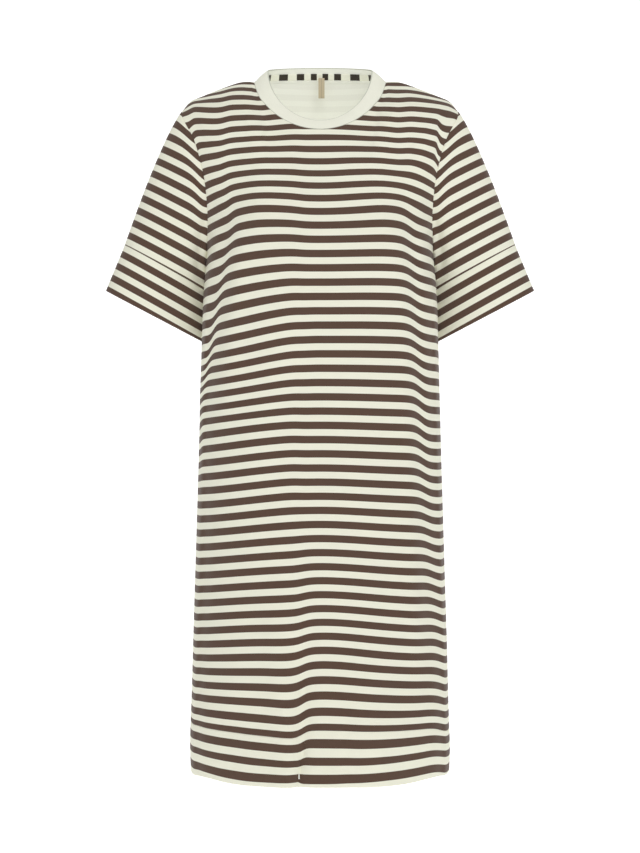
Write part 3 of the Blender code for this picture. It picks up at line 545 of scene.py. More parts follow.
def quads(index):  # corners of every cell of an index grid
    return np.stack([index[:-1, :-1], index[:-1, 1:], index[1:, 1:], index[1:, :-1]], axis=-1).reshape(-1, 4)


def wrapped(grid):  # the grid with its first column again after its last
    return np.concatenate([grid, grid[:, :1]], axis=1)


def lengths(line):  # distance along a line of points, from 0
    return np.concatenate([[0], np.cumsum(np.linalg.norm(np.diff(line, axis=0), axis=1))])


# Outer grid, inner grid at outer + inward * wall, and rims; a free edge has a rounded rim
def addShell(name, outer, inward, wall, cloth, closed, free, materials, node):
    rows, columns = outer.shape[:2]
    count = rows * columns
    number = np.arange(count).reshape(rows, columns)
    clothNumber = np.arange(cloth.shape[0] * cloth.shape[1]).reshape(cloth.shape[:2])
    around = wrapped if closed else np.asarray
    points = [outer.reshape(-1, 3), (outer + inward * wall).reshape(-1, 3)]
    patches = [(around(number), clothNumber, False, 0), (around(number + count), clothNumber, True, 1)]
    total = 2 * count
    for edge, inner, turnRound in ((0, 1, True), (-1, -2, False)):
        rim = [number[edge], number[edge] + count]
        if edge in free:
            out = unit(outer[edge] - outer[inner]) * wall * shell["rimRound"]
            points.append(outer[edge] + inward[edge] * wall / 2 + out)
            rim.insert(1, np.arange(total, total + columns))
            total += columns
        patches.append((around(np.array(rim)), np.array([clothNumber[edge]] * len(rim)), turnRound, 0))
    if not closed:
        for edge, turnRound in ((0, False), (-1, True)):
            rim = np.array([number[:, edge], number[:, edge] + count])
            patches.append((rim, np.array([clothNumber[:, edge]] * 2), turnRound, 0))
    faces, corners, look = [], [], []
    for index, clothIndex, turnRound, surface in patches:
        order = slice(None, None, -1) if turnRound else slice(None)
        faces.append(quads(index)[:, order])
        corners.append(quads(clothIndex)[:, order])
        look.append(np.full(len(faces[-1]), surface))
    faces, corners, look = (np.concatenate(part) for part in (faces, corners, look))
    across = outer[rows // 2, 1] - outer[rows // 2, 0]
    along = outer[rows // 2 + 1, 0] - outer[rows // 2, 0]
    if np.dot(np.cross(across, along), inward[rows // 2, 0]) > 0:  # they would face into the cloth
        faces, corners = faces[:, ::-1], corners[:, ::-1]
    mesh = bpy.data.meshes.new(name)
    mesh.from_pydata(np.concatenate(points).tolist(), [], faces.tolist())
    mesh.uv_layers.new(name="cloth")
    places = cloth.reshape(-1, 2)[corners.ravel()].astype(np.float32)
    mesh.uv_layers["cloth"].data.foreach_set("uv", places.ravel())
    for surface in materials:
        mesh.materials.append(surface)
    mesh.polygons.foreach_set("material_index", look.astype(np.int32))
    mesh.update()
    mesh.shade_smooth()
    mesh.set_sharp_from_angle(angle=math.radians(shell["sharpFrom"]))
    piece = bpy.data.objects.new(name, mesh)
    bpy.context.scene.collection.objects.link(piece)
    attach(piece, "root")
    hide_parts(node)
    print("made", name, len(faces) * 2, "triangles")
    return piece


# Materials

def newGroup(name, inputs, outputs):  # node group whose sockets are numbers: inputs with values, and outputs
    group = bpy.data.node_groups.new(name, "ShaderNodeTree")
    for label, value in inputs.items():
        socket = group.interface.new_socket(label, in_out="INPUT", socket_type="NodeSocketFloat")
        socket.default_value = value
    for label in outputs:
        group.interface.new_socket(label, in_out="OUTPUT", socket_type="NodeSocketFloat")
    return group, group.nodes.new("NodeGroupInput").outputs, group.nodes.new("NodeGroupOutput").inputs


def mathNode(tree, operation, *values):  # one sum on sockets or numbers
    node = tree.nodes.new("ShaderNodeMath")
    node.operation = operation
    for number, value in enumerate(values):
        if isinstance(value, bpy.types.NodeSocket):
            tree.links.new(value, node.inputs[number])
        else:
            node.inputs[number].default_value = value
    return node.outputs[0]


def mixColour(tree, share, first, second):  # first colour to second by the share
    node = tree.nodes.new("ShaderNodeMix")
    node.data_type = "RGBA"
    sockets = [s for s in node.inputs if s.enabled]
    for socket, value in zip(sockets, (share, first, second)):
        if isinstance(value, bpy.types.NodeSocket):
            tree.links.new(value, socket)
        else:
            socket.default_value = (*value, 1.0)
    return [s for s in node.outputs if s.enabled][0]


# Mask of the bands, the jersey's brown stripes and the neck rib's painted shade line: distance from a band's
# middle, in pitches, with a soft knitted edge
def makeBandGroup():
    group, put, out = newGroup(
        "jersey bands", {"Height": 0.0, "Pitch": 0.02, "Share": 0.5, "Edge": 0.012}, ("BandMask",))
    turns = mathNode(group, "DIVIDE", put["Height"], put["Pitch"])
    place = mathNode(group, "FRACT", mathNode(group, "ADD", turns, 0.5))
    off = mathNode(group, "ABSOLUTE", mathNode(group, "SUBTRACT", place, 0.5))
    half = mathNode(group, "MULTIPLY", put["Share"], 0.5)
    inside = mathNode(group, "DIVIDE", mathNode(group, "SUBTRACT", half, off), put["Edge"])
    mask = group.nodes.new("ShaderNodeClamp")
    group.links.new(mathNode(group, "ADD", inside, 0.5), mask.inputs["Value"])
    group.links.new(mask.outputs[0], out["BandMask"])
    return group


knit = {"waleShare": 0.6, "courseShare": 0.4, "fleckScale": 420.0, "fleckDetail": 3.0}


# Relief of the V stitches: rounded wales, with courses slanting down from each wale's middle, and flecks
def makeKnitGroup():
    group, put, out = newGroup(
        "knit relief", {"Across": 0.0, "Height": 0.0, "Wale": 0.001, "Course": 0.0008, "Slant": 0.5},
        ("Relief", "Fleck"))
    wale = mathNode(group, "FRACT", mathNode(group, "DIVIDE", put["Across"], put["Wale"]))
    half = mathNode(group, "ABSOLUTE", mathNode(group, "SUBTRACT", wale, 0.5))
    off = mathNode(group, "MULTIPLY", half, 2.0)
    turns = mathNode(group, "DIVIDE", put["Height"], put["Course"])
    course = mathNode(group, "ADD", turns, mathNode(group, "MULTIPLY", off, put["Slant"]))
    wave = mathNode(group, "SINE", mathNode(group, "MULTIPLY", course, 2 * math.pi))
    loop = mathNode(group, "MULTIPLY_ADD", wave, 0.5, 0.5)
    crown = mathNode(group, "SUBTRACT", 1.0, mathNode(group, "POWER", off, 2.0))
    relief = mathNode(group, "ADD", mathNode(group, "MULTIPLY", crown, knit["waleShare"]),
                      mathNode(group, "MULTIPLY", loop, knit["courseShare"]))
    group.links.new(relief, out["Relief"])
    place = group.nodes.new("ShaderNodeCombineXYZ")
    group.links.new(put["Across"], place.inputs["X"])
    group.links.new(put["Height"], place.inputs["Y"])
    fleck = group.nodes.new("ShaderNodeTexNoise")
    fleck.inputs["Scale"].default_value = knit["fleckScale"]
    fleck.inputs["Detail"].default_value = knit["fleckDetail"]
    group.links.new(place.outputs[0], fleck.inputs["Vector"])
    group.links.new(fleck.outputs["Fac"], out["Fleck"])
    return group


bandGroup = makeBandGroup()
knitGroup = makeKnitGroup()
finish = {
    "rough": 0.92, "specular": 0.25, "sheen": 0.12, "sheenRough": 0.6, "bump": 0.6,
    "creamFleck": 0.03, "brownFleck": 0.12,
}


def flecked(colour, amount):  # the colour a little darker, and a little lighter
    return tuple(c * (1 - amount) for c in colour), tuple(min(c * (1 + amount), 1) for c in colour)


# Flecked cream cloth with bands across or along its cloth map (brown stripes, and on the neck rib a painted
# shade line), knit relief and a faint painted glow: emission that lifts the shade as painted light
def clothMaterial(name, cream, bandColour, share=stripes["brownShare"], bandAmount=1.0, wale=0.00095,
                  course=0.0007, slant=0.55, relief=0.00012, turned=False, paintedLightGlow=0.0):
    surface = bpy.data.materials.new(name)
    surface.use_nodes = True
    tree = surface.node_tree
    shader = tree.nodes["Principled BSDF"]
    place = tree.nodes.new("ShaderNodeUVMap")
    place.uv_map = "cloth"
    parts = tree.nodes.new("ShaderNodeSeparateXYZ")
    tree.links.new(place.outputs["UV"], parts.inputs[0])
    across, height = parts.outputs["X"], parts.outputs["Y"]
    stitches = tree.nodes.new("ShaderNodeGroup")
    stitches.node_tree = knitGroup
    for label, value in (("Wale", wale), ("Course", course), ("Slant", slant)):
        stitches.inputs[label].default_value = value
    tree.links.new(across, stitches.inputs["Across"])
    tree.links.new(height, stitches.inputs["Height"])
    fleck = stitches.outputs["Fleck"]
    colour = mixColour(tree, fleck, *flecked(cream, finish["creamFleck"]))
    if bandColour:
        bands = tree.nodes.new("ShaderNodeGroup")
        bands.node_tree = bandGroup
        bands.inputs["Pitch"].default_value = stripes["pitch"]
        bands.inputs["Share"].default_value = share
        tree.links.new(across if turned else height, bands.inputs["Height"])
        dark = mixColour(tree, fleck, *flecked(bandColour, finish["brownFleck"]))
        amount = mathNode(tree, "MULTIPLY", bands.outputs["BandMask"], bandAmount)
        colour = mixColour(tree, amount, colour, dark)
    tree.links.new(colour, shader.inputs["Base Color"])
    # painted light: the cloth's colour given again as emission, so its shaded parts look lit
    if paintedLightGlow:
        tree.links.new(colour, shader.inputs["Emission Color"])
        shader.inputs["Emission Strength"].default_value = paintedLightGlow
    bump = tree.nodes.new("ShaderNodeBump")
    bump.inputs["Strength"].default_value = finish["bump"]
    bump.inputs["Distance"].default_value = relief
    tree.links.new(stitches.outputs["Relief"], bump.inputs["Height"])
    tree.links.new(bump.outputs[0], shader.inputs["Normal"])
    shader.inputs["Roughness"].default_value = finish["rough"]
    shader.inputs["Specular IOR Level"].default_value = finish["specular"]
    shader.inputs["Sheen Weight"].default_value = finish["sheen"]
    shader.inputs["Sheen Roughness"].default_value = finish["sheenRough"]
    return surface


colours = {
    "cream": (0.775, 0.770, 0.640), "bandColour": (0.087, 0.0505, 0.034), "inside": (0.760, 0.765, 0.700),
    "rib": (0.800, 0.800, 0.685), "paintedRibEdgeShade": (0.46, 0.48, 0.40), "tapeBrown": (0.036, 0.028, 0.020),
    "label": (0.590, 0.500, 0.350), "labelLine": (0.25, 0.20, 0.13),
}
ribStitch = {"wale": 0.0016, "course": 0.0008, "relief": 0.00020}
# The glow strengths are painted light that lifts shade; the inside faces and the rib glow more, as lit copies
# of the cloth
jersey = clothMaterial("striped jersey", colours["cream"], colours["bandColour"], paintedLightGlow=0.13)
jerseyInside = clothMaterial("striped jersey inside", colours["inside"], colours["bandColour"],
                             bandAmount=0.055, wale=0.0011, slant=0.2, paintedLightGlow=0.27)
# The rib's bands are painted shade: a dark line along its free edge, standing for the shadow there
ribKnit = clothMaterial("neck rib knit", colours["rib"], colours["paintedRibEdgeShade"], share=0.070,
                        bandAmount=0.75, paintedLightGlow=0.14, **ribStitch)
ribInside = clothMaterial("neck rib knit inside", colours["inside"], None, paintedLightGlow=0.30, **ribStitch)
tapeCloth = clothMaterial("neck tape jersey", colours["rib"], colours["tapeBrown"], share=0.50,
                          turned=True, paintedLightGlow=0.20)
labelCloth = clothMaterial("plain label weave", colours["label"], colours["labelLine"], share=0.05,
                           bandAmount=0.35, wale=0.0005, course=0.0005, slant=0.0, relief=0.00008,
                           turned=True)
print("materials made")


# Front and back, with their hem bands

panelSeams = {  # how much each seam puckers, where the hem's puckers start, and how near creases come
    "arm": 1.3, "side": 0.6, "neck": 0.8, "shoulder": 0.5, "hem": 0.7, "hemStart": 3.0, "clear": 0.02,
}
armWallLean = 1.25  # above 1, the armhole's walls point more inwards from front and back than a circle's do
justPast = 1e-6  # a little over the neck ends, so that their own columns count


def armInward(turn):  # walls at the armhole point to the middle of its ring
    return unit(np.stack([np.zeros_like(turn), armWallLean * np.sin(turn), -np.cos(turn)], axis=-1))


def flatten(vectors, axis):  # wall directions turned into the plane of an edge
    axis = np.asarray(axis, float)
    return unit(vectors - (vectors @ axis)[..., None] * axis)


# The seams of a panel's edges, pressed in and puckered, and creases that fade beside each
def panelRelief(panel, form, across):
    grid, marks, armRow = form["grid"], form["marks"], form["armRow"]
    neckEnd = body["neckHalf"] / body["shoulderHalf"]
    neck = grid[-1, np.abs(marks) <= neckEnd + justPast]
    left, right = grid[-1, marks <= -neckEnd + justPast], grid[-1, marks >= neckEnd - justPast]
    lines = (("arm", grid[armRow:, 0]), ("arm", grid[armRow:, -1]), ("side", grid[:armRow + 1, 0]),
             ("side", grid[:armRow + 1, -1]), ("neck", neck), ("shoulder", left), ("shoulder", right))
    x, z = grid[..., 0], grid[..., 2]
    relief = creaseRelief(creases[panel], x, z) + softWaves(x, z)
    inner = np.ones_like(relief)
    seams = np.zeros_like(relief)
    for kind, line in lines:
        away, along = distanceTo(grid, line)
        seams = np.minimum(seams, 0) + seamRelief(away, along, panelSeams[kind])
        inner = inner * softStep(0.0, panelSeams["clear"], away)
    bandAway = np.abs(z - z[form["seamRow"]])
    seams = seams + seamRelief(bandAway, across + panelSeams["hemStart"], panelSeams["hem"])
    return relief * inner + seams


# Walls point against the normals, but lie in the planes of the hem, side and shoulder seams,
# and take the shared directions at the armhole and the neck
def panelInward(panel, form, normal):
    marks, armRow = form["marks"], form["armRow"]
    neckEnd = body["neckHalf"] / body["shoulderHalf"]
    neck = np.abs(marks) <= neckEnd + justPast
    inward = -normal
    inward[0] = flatten(inward[0], (0, 0, 1))
    turn = math.pi * (1 - form["rise"][armRow:])
    turn = turn if panel == "front" else 2 * math.pi - turn
    for column in (0, -1):
        inward[:armRow + 1, column] = flatten(inward[:armRow + 1, column], (0, 1, 0))
        inward[armRow:, column] = armInward(turn)
    inward[-1, ~neck] = flatten(inward[-1, ~neck], (0, 1, 0))
    sin = np.clip(marks[neck] / neckEnd, -1, 1)
    neckTurn = np.arcsin(sin) if panel == "front" else math.pi - np.arcsin(sin)
    inward[-1, neck] = neckInward(neckTurn)
    return inward, turn, neck, neckTurn


def makePanel(panel):  # the panel's form plus its relief, cut in two shells at the hem seam
    form = panelForm(panel)
    grid, armRow, seamRow = form["grid"], form["armRow"], form["seamRow"]
    normal = acrossNormals(grid, False)
    normal *= np.sign(normal[2, len(form["marks"]) // 2, 1] * facing[panel])
    height = clothHeight(panel, grid)
    across = clothAcross(grid)
    outer = grid + normal * panelRelief(panel, form, across)[..., None]
    inward, turn, neck, neckTurn = panelInward(panel, form, normal)
    cloth = np.stack([across, height], axis=-1)
    band = np.stack([across, height + hemBandStart * stripes["pitch"]], axis=-1)
    strip = slice(0, seamRow + 1)
    surfaces = (jersey, jerseyInside)
    piece = addShell(panel + "Cloth", outer[seamRow:], inward[seamRow:], body["wall"], cloth[seamRow:],
                     False, (), surfaces, panel)
    bandPiece = addShell("hemBand" + panel.capitalize(), outer[strip], inward[strip], body["wall"],
                         band[strip], False, (0,), surfaces, "hem_band_" + panel)
    return {"arm": {side: outer[armRow:, column] for side, column in ((-1, 0), (1, -1))}, "turn": turn,
            "neck": outer[-1, neck], "neckTurn": neckTurn}


panels = {panel: makePanel(panel) for panel in ("front", "back")}


# Sleeves and cuffs

sleeves = {
    "seamOut": (0.2855, 0.000, -0.2385), "seamIn": (0.1684, 0.030, -0.3052),
    "edgeOut": (0.3133, 0.000, -0.3060), "edgeIn": (0.1712, 0.034, -0.3802),
    "seamDepth": 0.047, "edgeDepth": 0.043,
    "bow": 0.0085, "bowFrom": -0.8, "bowPower": 0.6, "clear": 0.0006, "clearFrom": -0.4, "clearPower": 0.7,
    "foldReach": 0.92, "rows": 64, "cuffRows": 30, "cuffBrown": -0.0136, "cuffPitch": 0.0184,
    "armSag": 0.0080, "armSagWide": 0.013, "armSagFrom": (20, 60), "armSagTo": (130, 90),
    "lean": 0.030, "cuffLean": 0.012, "leanFrom": 0.175,
    "armPucker": 1.3, "cuffPucker": 0.6, "seamLeast": 0.35, "seamMore": 1.3, "cuffLift": 0.01,
    "creaseFrom": 0.012,
}
sleeveLevels = {  # number of the brown band at each height above the cuff seam, seen from the front
    "height": (-0.020, 0.0168, 0.0354, 0.0542, 0.0729, 0.0917, 0.1106, 0.1295, 0.1480, 0.1680, 0.250),
    "band": (-2, 0, 1, 2, 3, 4, 5, 6, 7, 8, 12),
}
sleeveFolds = (
    {"turn": (122, 150), "wide": 16.0, "deep": -0.0050},
    {"turn": (92, 112), "wide": 20.0, "deep": 0.0030},
    {"turn": (238, 212), "wide": 16.0, "deep": -0.0050},
    {"turn": (268, 246), "wide": 20.0, "deep": 0.0030},
)
sleeveCreases = (  # in degrees of turn / 1000 and share of the length
    {"from": (0.060, 0.05), "to": (0.100, 0.60), "bow": 0.004, "wide": 0.010, "deep": -0.0010},
    {"from": (0.120, 0.02), "to": (0.090, 0.50), "bow": 0.004, "wide": 0.008, "deep": 0.0012},
    {"from": (0.290, 0.05), "to": (0.260, 0.55), "bow": 0.004, "wide": 0.010, "deep": -0.0010},
    {"from": (0.330, 0.10), "to": (0.310, 0.80), "bow": 0.004, "wide": 0.012, "deep": 0.0009},
    {"from": (0.020, 0.15), "to": (0.050, 0.90), "bow": 0.003, "wide": 0.012, "deep": 0.0008},
)


# Flat oval between two corners; a quarter turn is the front
def ovalRing(turn, side, outerCorner, innerCorner, depth):
    outside, inside = (np.array(corner) * np.array([side, 1.0, 1.0]) for corner in (outerCorner, innerCorner))
    long = (outside - inside) / 2
    return ((outside + inside) / 2 + np.cos(turn)[..., None] * long
            + np.sin(turn)[..., None] * np.array([0.0, -depth, 0.0]))


def crowdedEnds(rows, first, last):  # even marks from 0 to 1, with finer ones beside the ends named
    fine = np.array((0.1, 0.22, 0.38, 0.6)) / rows
    extra = ([fine] if first else []) + ([1 - fine] if last else [])
    return np.unique(np.concatenate([np.linspace(0, 1, rows + 1), *extra]))


def roundNormals(grid):  # normals of a closed grid, away from the middles of its rows
    normal = acrossNormals(grid, True)
    return normal * np.sign(np.sum(normal * (grid - grid.mean(axis=1, keepdims=True))))


def ringCloth(ring, height):  # cloth map of a closed grid: distance round the ring, and cloth height
    height = wrapped(height)
    return np.stack([np.broadcast_to(ring, height.shape), height], axis=-1)


def sleeveAxis(side):  # up the sleeve, square to the cuff seam's oval
    long = (np.array(sleeves["seamOut"]) - np.array(sleeves["seamIn"])) * np.array([side, 1, 1])
    return unit(np.cross(long, np.array([0.0, side, 0.0])))


def seenHeight(grid, side, lean):  # height above the cuff seam as the front shows it, plus a lean outwards
    corner = np.array(sleeves["seamOut"]) * np.array([side, 1, 1])
    seenAxis = unit(sleeveAxis(side) * np.array([1, 0, 1]))
    return (grid - corner) @ seenAxis + lean * (side * grid[..., 0] - sleeves["leanFrom"])


# Straight from the armhole to the cuff seam, bowed out above, eased out below, with a bell for each fold
def sleeveForm(side, start, end, turns, marks):
    along = marks[:, None, None]
    grid = start * (1 - along) + end * along
    outward = unit(grid - grid.mean(axis=1, keepdims=True))
    upper = softStep(sleeves["bowFrom"], 1.0, np.cos(turns))[None, :, None]
    under = softStep(sleeves["clearFrom"], -1.0, np.cos(turns))[None, :, None]
    grid = grid + outward * upper * sleeves["bow"] * np.sin(math.pi * along ** sleeves["bowPower"])
    ease = under * sleeves["clear"] * np.sin(math.pi * along ** sleeves["clearPower"])
    grid[..., 0] += side * ease[..., 0]
    degrees = np.degrees(turns)[None, :, None]
    for fold in sleeveFolds:
        line = fold["turn"][0] + (fold["turn"][1] - fold["turn"][0]) * along
        bell = np.exp(-((degrees - line) / fold["wide"]) ** 2)
        grid = grid + outward * bell * fold["deep"] * np.sin(math.pi * sleeves["foldReach"] * along)
    return grid


def makeSleeve(side, word):  # from the armhole's own points to an oval at the cuff seam, as a closed shell
    front, back = panels["front"], panels["back"]
    start = np.concatenate([front["arm"][side][::-1][:-1], back["arm"][side][:-1]])
    turns = np.concatenate([front["turn"][::-1][:-1], back["turn"][:-1]])
    degrees = np.degrees(turns)
    end = ovalRing(turns, side, sleeves["seamOut"], sleeves["seamIn"], sleeves["seamDepth"])
    marks = crowdedEnds(sleeves["rows"], True, True)
    grid = sleeveForm(side, start, end, turns, marks)
    armAway, armAlong = distanceTo(grid, wrapped(grid)[0])
    cuffAway, cuffAlong = distanceTo(grid, wrapped(grid)[-1])
    relief = creaseRelief(sleeveCreases, *np.meshgrid(degrees / 1000, marks))
    for away in (armAway, cuffAway):
        relief = relief * softStep(0, sleeves["creaseFrom"], away)
    seamDeep = sleeves["seamLeast"] + sleeves["seamMore"] * softStep(1.0, -1.0, np.cos(turns))[None, :]
    relief = (relief + seamRelief(armAway, armAlong, sleeves["armPucker"])
              + seamRelief(cuffAway, cuffAlong, sleeves["cuffPucker"], seamDeep))
    normal = roundNormals(grid)
    outer = grid + normal * relief[..., None]
    outer[0] = start
    inward = -normal
    inward[0] = armInward(turns)
    inward[-1] = flatten(inward[-1], sleeveAxis(side))
    inFront = softStep(*sleeves["armSagFrom"], degrees) * softStep(*sleeves["armSagTo"], degrees)
    sag = sleeves["armSag"] * np.exp(-(armAway / sleeves["armSagWide"]) ** 2) * inFront
    height = seenHeight(grid, side, sleeves["lean"]) + sag
    ring = lengths(wrapped(end[None])[0])
    bands = tableLine(height, sleeveLevels["height"], sleeveLevels["band"])
    cloth = ringCloth(ring, stripes["pitch"] * bands)
    piece = addShell("sleeve" + word, outer, inward, body["wall"], cloth, True, (), (jersey, jerseyInside),
                     "sleeve_" + word.lower())
    return {"turns": turns, "start": outer[-1], "inward": inward[-1], "ring": ring, "seamDeep": seamDeep}


def makeCuff(side, word, sleeve):  # straight from the cuff seam to an oval at the edge, raised by the seam
    start, turns = sleeve["start"], sleeve["turns"]
    edge = ovalRing(turns, side, sleeves["edgeOut"], sleeves["edgeIn"], sleeves["edgeDepth"])
    marks = crowdedEnds(sleeves["cuffRows"], True, False)[:, None, None]
    grid = start * (1 - marks) + edge * marks
    normal = roundNormals(grid)
    away, around = distanceTo(grid, wrapped(grid)[0])
    lift = seam["depth"] * sleeve["seamDeep"] * softStep(0, 1, 1 - away / sleeves["cuffLift"])
    bulge = seamRelief(away, around, sleeves["cuffPucker"], sleeve["seamDeep"]) + lift
    outer = grid + normal * bulge[..., None]
    outer[0] = start
    inward = -normal
    inward[0] = sleeve["inward"]
    height = seenHeight(grid, side, sleeves["cuffLean"]) - sleeves["cuffBrown"]
    cloth = ringCloth(sleeve["ring"], height * stripes["pitch"] / sleeves["cuffPitch"])
    cuff = addShell("cuff" + word, outer, inward, body["wall"], cloth, True, (-1,), (jersey, jerseyInside),
                    "cuff_" + word.lower())


for side, word in ((-1.0, "Left"), (1.0, "Right")):
    makeCuff(side, word, makeSleeve(side, word))


# Neck rib, tape and hanger loop

neckBand = {
    "wall": 0.0022, "edgeHalf": 0.0765, "edgeFrontY": 0.062, "edgeBackY": 0.053, "edgeSideZ": 0.0165,
    "edgeFrontDrop": 0.0820, "edgeBackRise": 0.0125, "edgeFrontPower": 1.1, "roll": 0.0012, "rows": 20,
    "pucker": 0.5, "lift": 0.004,
}
tape = {"wall": 0.0011, "from": 0.14, "to": 0.58, "gap": 0.00045, "rows": 8}
tapeBands = {  # the tape is stretched unevenly: middle of each brown block along it
    "along": (-0.145, -0.0872, -0.0538, -0.0260, -0.0079, 0.0091, 0.0291, 0.0565, 0.0880, 0.145),
    "band": (-3, -1, 0, 1, 2, 3, 4, 5, 6, 8),
}
label = {
    "wide": 0.0090, "x": 0.0022, "top": 0.0135, "bottom": -0.0145, "wall": 0.0006, "fold": 0.0006,
    "bow": 0.0006, "offTape": 0.0012, "legRows": 16, "foldRows": 9, "columns": 9,
}


def edgeRing(turn):  # free edge of the rib: an ellipse inside and above the seam, low at the front
    front = np.cos(turn) > 0
    cos = np.abs(np.cos(turn))
    y = np.where(front, -neckBand["edgeFrontY"], neckBand["edgeBackY"]) * cos
    fall = -neckBand["edgeFrontDrop"] * cos ** neckBand["edgeFrontPower"]
    z = neckBand["edgeSideZ"] + np.where(front, fall, neckBand["edgeBackRise"] * cos)
    return np.stack([neckBand["edgeHalf"] * np.sin(turn), y, z], axis=-1)


def makeNeck():  # straight from the neck seam's own points to the free edge, and rolled outwards between
    front, back = panels["front"], panels["back"]
    right = len(front["neck"]) // 2  # from the centre front round by the right shoulder
    order = ((front, slice(right, None)), (back, slice(-2, None, -1)), (front, slice(1, right)))
    seamLine = np.concatenate([part["neck"][cut] for part, cut in order])
    turns = np.unwrap(np.concatenate([part["neckTurn"][cut] for part, cut in order]))
    marks = crowdedEnds(neckBand["rows"], True, False)[:, None, None]
    grid = seamLine * (1 - marks) + edgeRing(turns) * marks
    grid = grid - neckInward(turns)[None] * neckBand["roll"] * 4 * marks * (1 - marks)
    normal = roundNormals(grid)
    away, around = distanceTo(grid, wrapped(grid)[0])
    lift = seam["depth"] * softStep(0, 1, 1 - away / neckBand["lift"])
    outer = grid + normal * (seamRelief(away, around, neckBand["pucker"]) + lift)[..., None]
    outer[0] = seamLine
    inward = -normal
    inward[0] = neckInward(turns)
    ring = lengths(wrapped(seamLine[None])[0])
    width = lengths(grid[:, 0])
    cloth = np.stack(np.meshgrid(ring, width - width[-1]), axis=-1)
    piece = addShell("neckRib", outer, inward, neckBand["wall"], cloth, True, (-1,), (ribKnit, ribInside),
                     "neck_rib")
    return outer, inward, turns


def rowsAt(grid, rows):  # rows of a grid at broken row numbers, straight between neighbours
    low = rows.astype(int)
    part = (rows - low)[:, None, None]
    return grid[low] * (1 - part) + grid[np.minimum(low + 1, len(grid) - 1)] * part


def makeTape(ribOuter, ribInward, turns):  # back half of the rib's inner face, a gap and a wall further in
    backHalf = np.cos(turns) <= 1e-9
    inner = (ribOuter + ribInward * (neckBand["wall"] + tape["gap"]))[:, backHalf]
    places = np.linspace(tape["from"], tape["to"], tape["rows"] + 1)
    rows = np.interp(places, crowdedEnds(neckBand["rows"], True, False), np.arange(len(inner)))
    inward = unit(rowsAt(ribInward[:, backHalf], rows))
    near = rowsAt(inner, rows) + inward * tape["wall"]
    along = stripes["pitch"] * tableLine(clothAcross(near), tapeBands["along"], tapeBands["band"])
    cloth = np.stack([along, np.linalg.norm(near - near[:1], axis=-1)], axis=-1)
    piece = addShell("neckTape", near, -inward, tape["wall"], cloth, False, (0, -1), (tapeCloth, tapeCloth),
                     "neck_tape")
    return near


def makeLabel(tapeFace):  # a strip down from the tape, round half a circle and up again, a little bowed
    middle = tapeFace[:, tapeFace.shape[1] // 2]
    bottomY = np.interp(label["bottom"], middle[:, 2], middle[:, 1]) - label["offTape"]
    topY = middle[:, 1].min() - label["offTape"]
    k = np.linspace(0, 1, label["legRows"])
    down = np.stack([topY + (bottomY - topY) * k,
                     label["top"] + (label["bottom"] - label["top"]) * k], axis=-1)
    bend = np.linspace(0, math.pi, label["foldRows"])[1:-1]
    radius = label["fold"] + label["wall"]
    fold = np.stack([bottomY - radius + radius * np.cos(bend),
                     label["bottom"] - radius * np.sin(bend)], axis=-1)
    up = down[::-1] - np.array([2 * radius, 0])
    up[:, 0] -= np.sin(math.pi * k)[::-1] * label["bow"]
    path = np.concatenate([down, fold, up])
    across = np.linspace(-0.5, 0.5, label["columns"]) * label["wide"]
    grid = np.stack(np.broadcast_arrays(label["x"] + across, path[:, :1], path[:, 1:]), axis=-1)
    outward = acrossNormals(grid, False)
    outward *= -np.sign(np.sum(outward[-3, :, 1]))
    length = lengths(path)
    cloth = np.stack(np.meshgrid(across, length), axis=-1)
    piece = addShell("labelLoop", grid, -outward, label["wall"], cloth, False, (0, -1),
                     (labelCloth, labelCloth), "label_loop")


makeLabel(makeTape(*makeNeck()))


# Stage, lights and camera

studio = {
    "floorZ": -1.20, "backY": 2.6, "curve": 1.2, "halfWidth": 7.0, "front": -6.0, "top": 5.0,
    "pale": 0.93, "paleRough": 0.9, "paleGlow": 0.55, "worldLight": 0.22, "worldSeen": 0.86,
    "cameraAway": 3.1, "cameraZ": -0.5051, "fieldHigh": 1.249, "sensor": 36.0,
}
lights = {
    "keyLeft": {"place": (-2.2, -3.5, 1.3), "aim": (0, 0, -0.4), "size": (2.2, 2.6), "power": 8},
    "fillRight": {"place": (2.5, -3.3, 1.0), "aim": (0, 0, -0.4), "size": (2.2, 2.6), "power": 9},
    "frontSoft": {"place": (0.4, -2.4, 1.5), "aim": (0, 0, 0), "size": (1.8, 1.4), "power": 31},
    "topSoft": {"place": (0.0, -0.6, 2.6), "aim": (0, 0, -0.5), "size": (3.0, 2.4), "power": 20},
}
scene = bpy.context.scene


def backdropPaint():  # pale and faintly lit, and clear from behind
    surface = bpy.data.materials.new("pale backdrop")
    surface.use_nodes = True
    tree = surface.node_tree
    shader = tree.nodes["Principled BSDF"]
    shader.inputs["Base Color"].default_value = (*[studio["pale"]] * 3, 1.0)
    shader.inputs["Roughness"].default_value = studio["paleRough"]
    shader.inputs["Emission Color"].default_value = (1.0, 1.0, 1.0, 1.0)
    shader.inputs["Emission Strength"].default_value = studio["paleGlow"]
    behind = tree.nodes.new("ShaderNodeNewGeometry").outputs["Backfacing"]
    tree.links.new(mathNode(tree, "SUBTRACT", 1.0, behind), shader.inputs["Alpha"])
    return surface


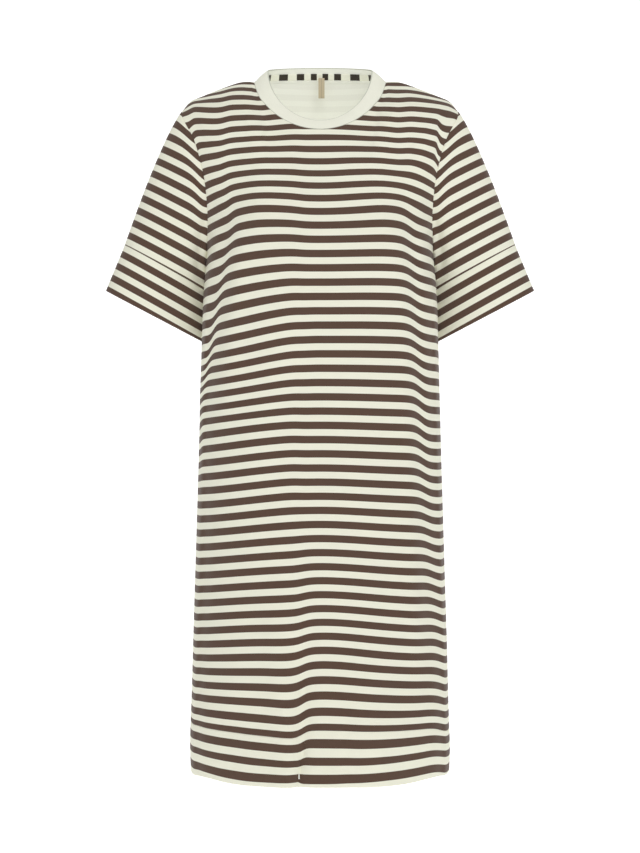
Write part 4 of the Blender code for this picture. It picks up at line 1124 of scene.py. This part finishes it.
def makeBackdrop():  # floor that curves up into a wall: quarter circle between two straight runs
    bend = np.linspace(0, math.pi / 2, 24)
    radius = studio["curve"]
    deep = studio["backY"] - radius + radius * np.sin(bend)
    tall = radius - radius * np.cos(bend)
    y = np.concatenate([[studio["front"]], deep, [studio["backY"]]])
    z = np.concatenate([[0], tall, [studio["top"]]]) + studio["floorZ"]
    x = np.linspace(-studio["halfWidth"], studio["halfWidth"], 9)
    grid = np.stack(np.broadcast_arrays(x, y[:, None], z[:, None]), axis=-1)
    mesh = bpy.data.meshes.new("backdrop")
    index = np.arange(grid[..., 0].size).reshape(grid.shape[:2])
    mesh.from_pydata(grid.reshape(-1, 3).tolist(), [], quads(index).tolist())
    mesh.shade_smooth()
    mesh.materials.append(backdropPaint())
    backdrop = bpy.data.objects.new("backdrop", mesh)
    scene.collection.objects.link(backdrop)


def addLight(name, place, aim, size, power):  # a flat lamp that looks from its place to its aim
    lamp = bpy.data.lights.new(name, "AREA")
    lamp.shape = "RECTANGLE"
    lamp.size, lamp.size_y = size
    lamp.energy = power
    light = bpy.data.objects.new(name, lamp)
    light.location = place
    light.rotation_euler = (Vector(aim) - Vector(place)).to_track_quat("-Z", "Y").to_euler()
    scene.collection.objects.link(light)


def makeWorld():  # bright where the camera looks past the backdrop, and a dim light elsewhere
    world = bpy.data.worlds.new("studio")
    world.use_nodes = True
    tree = world.node_tree
    sky = tree.nodes["Background"]
    sky.inputs["Color"].default_value = (1.0, 1.0, 1.0, 1.0)
    seen = tree.nodes.new("ShaderNodeLightPath").outputs["Is Camera Ray"]
    more = studio["worldSeen"] - studio["worldLight"]
    tree.links.new(mathNode(tree, "MULTIPLY_ADD", seen, more, studio["worldLight"]), sky.inputs["Strength"])
    scene.world = world


def makeCamera():  # level, square to the front; its lens makes the picture fieldHigh tall at the dress
    camera = bpy.data.cameras.new("camera")
    camera.sensor_width = studio["sensor"]
    camera.lens = studio["sensor"] * studio["cameraAway"] / studio["fieldHigh"]
    cameraObject = bpy.data.objects.new("camera", camera)
    cameraObject.location = (0.0, -studio["cameraAway"], studio["cameraZ"])
    cameraObject.rotation_euler = (math.pi / 2, 0.0, 0.0)
    scene.collection.objects.link(cameraObject)
    scene.camera = cameraObject


makeBackdrop()
for name, light in lights.items():
    addLight(name, **light)
makeWorld()
makeCamera()
scene.view_settings.view_transform = "Standard"
print("studio made")
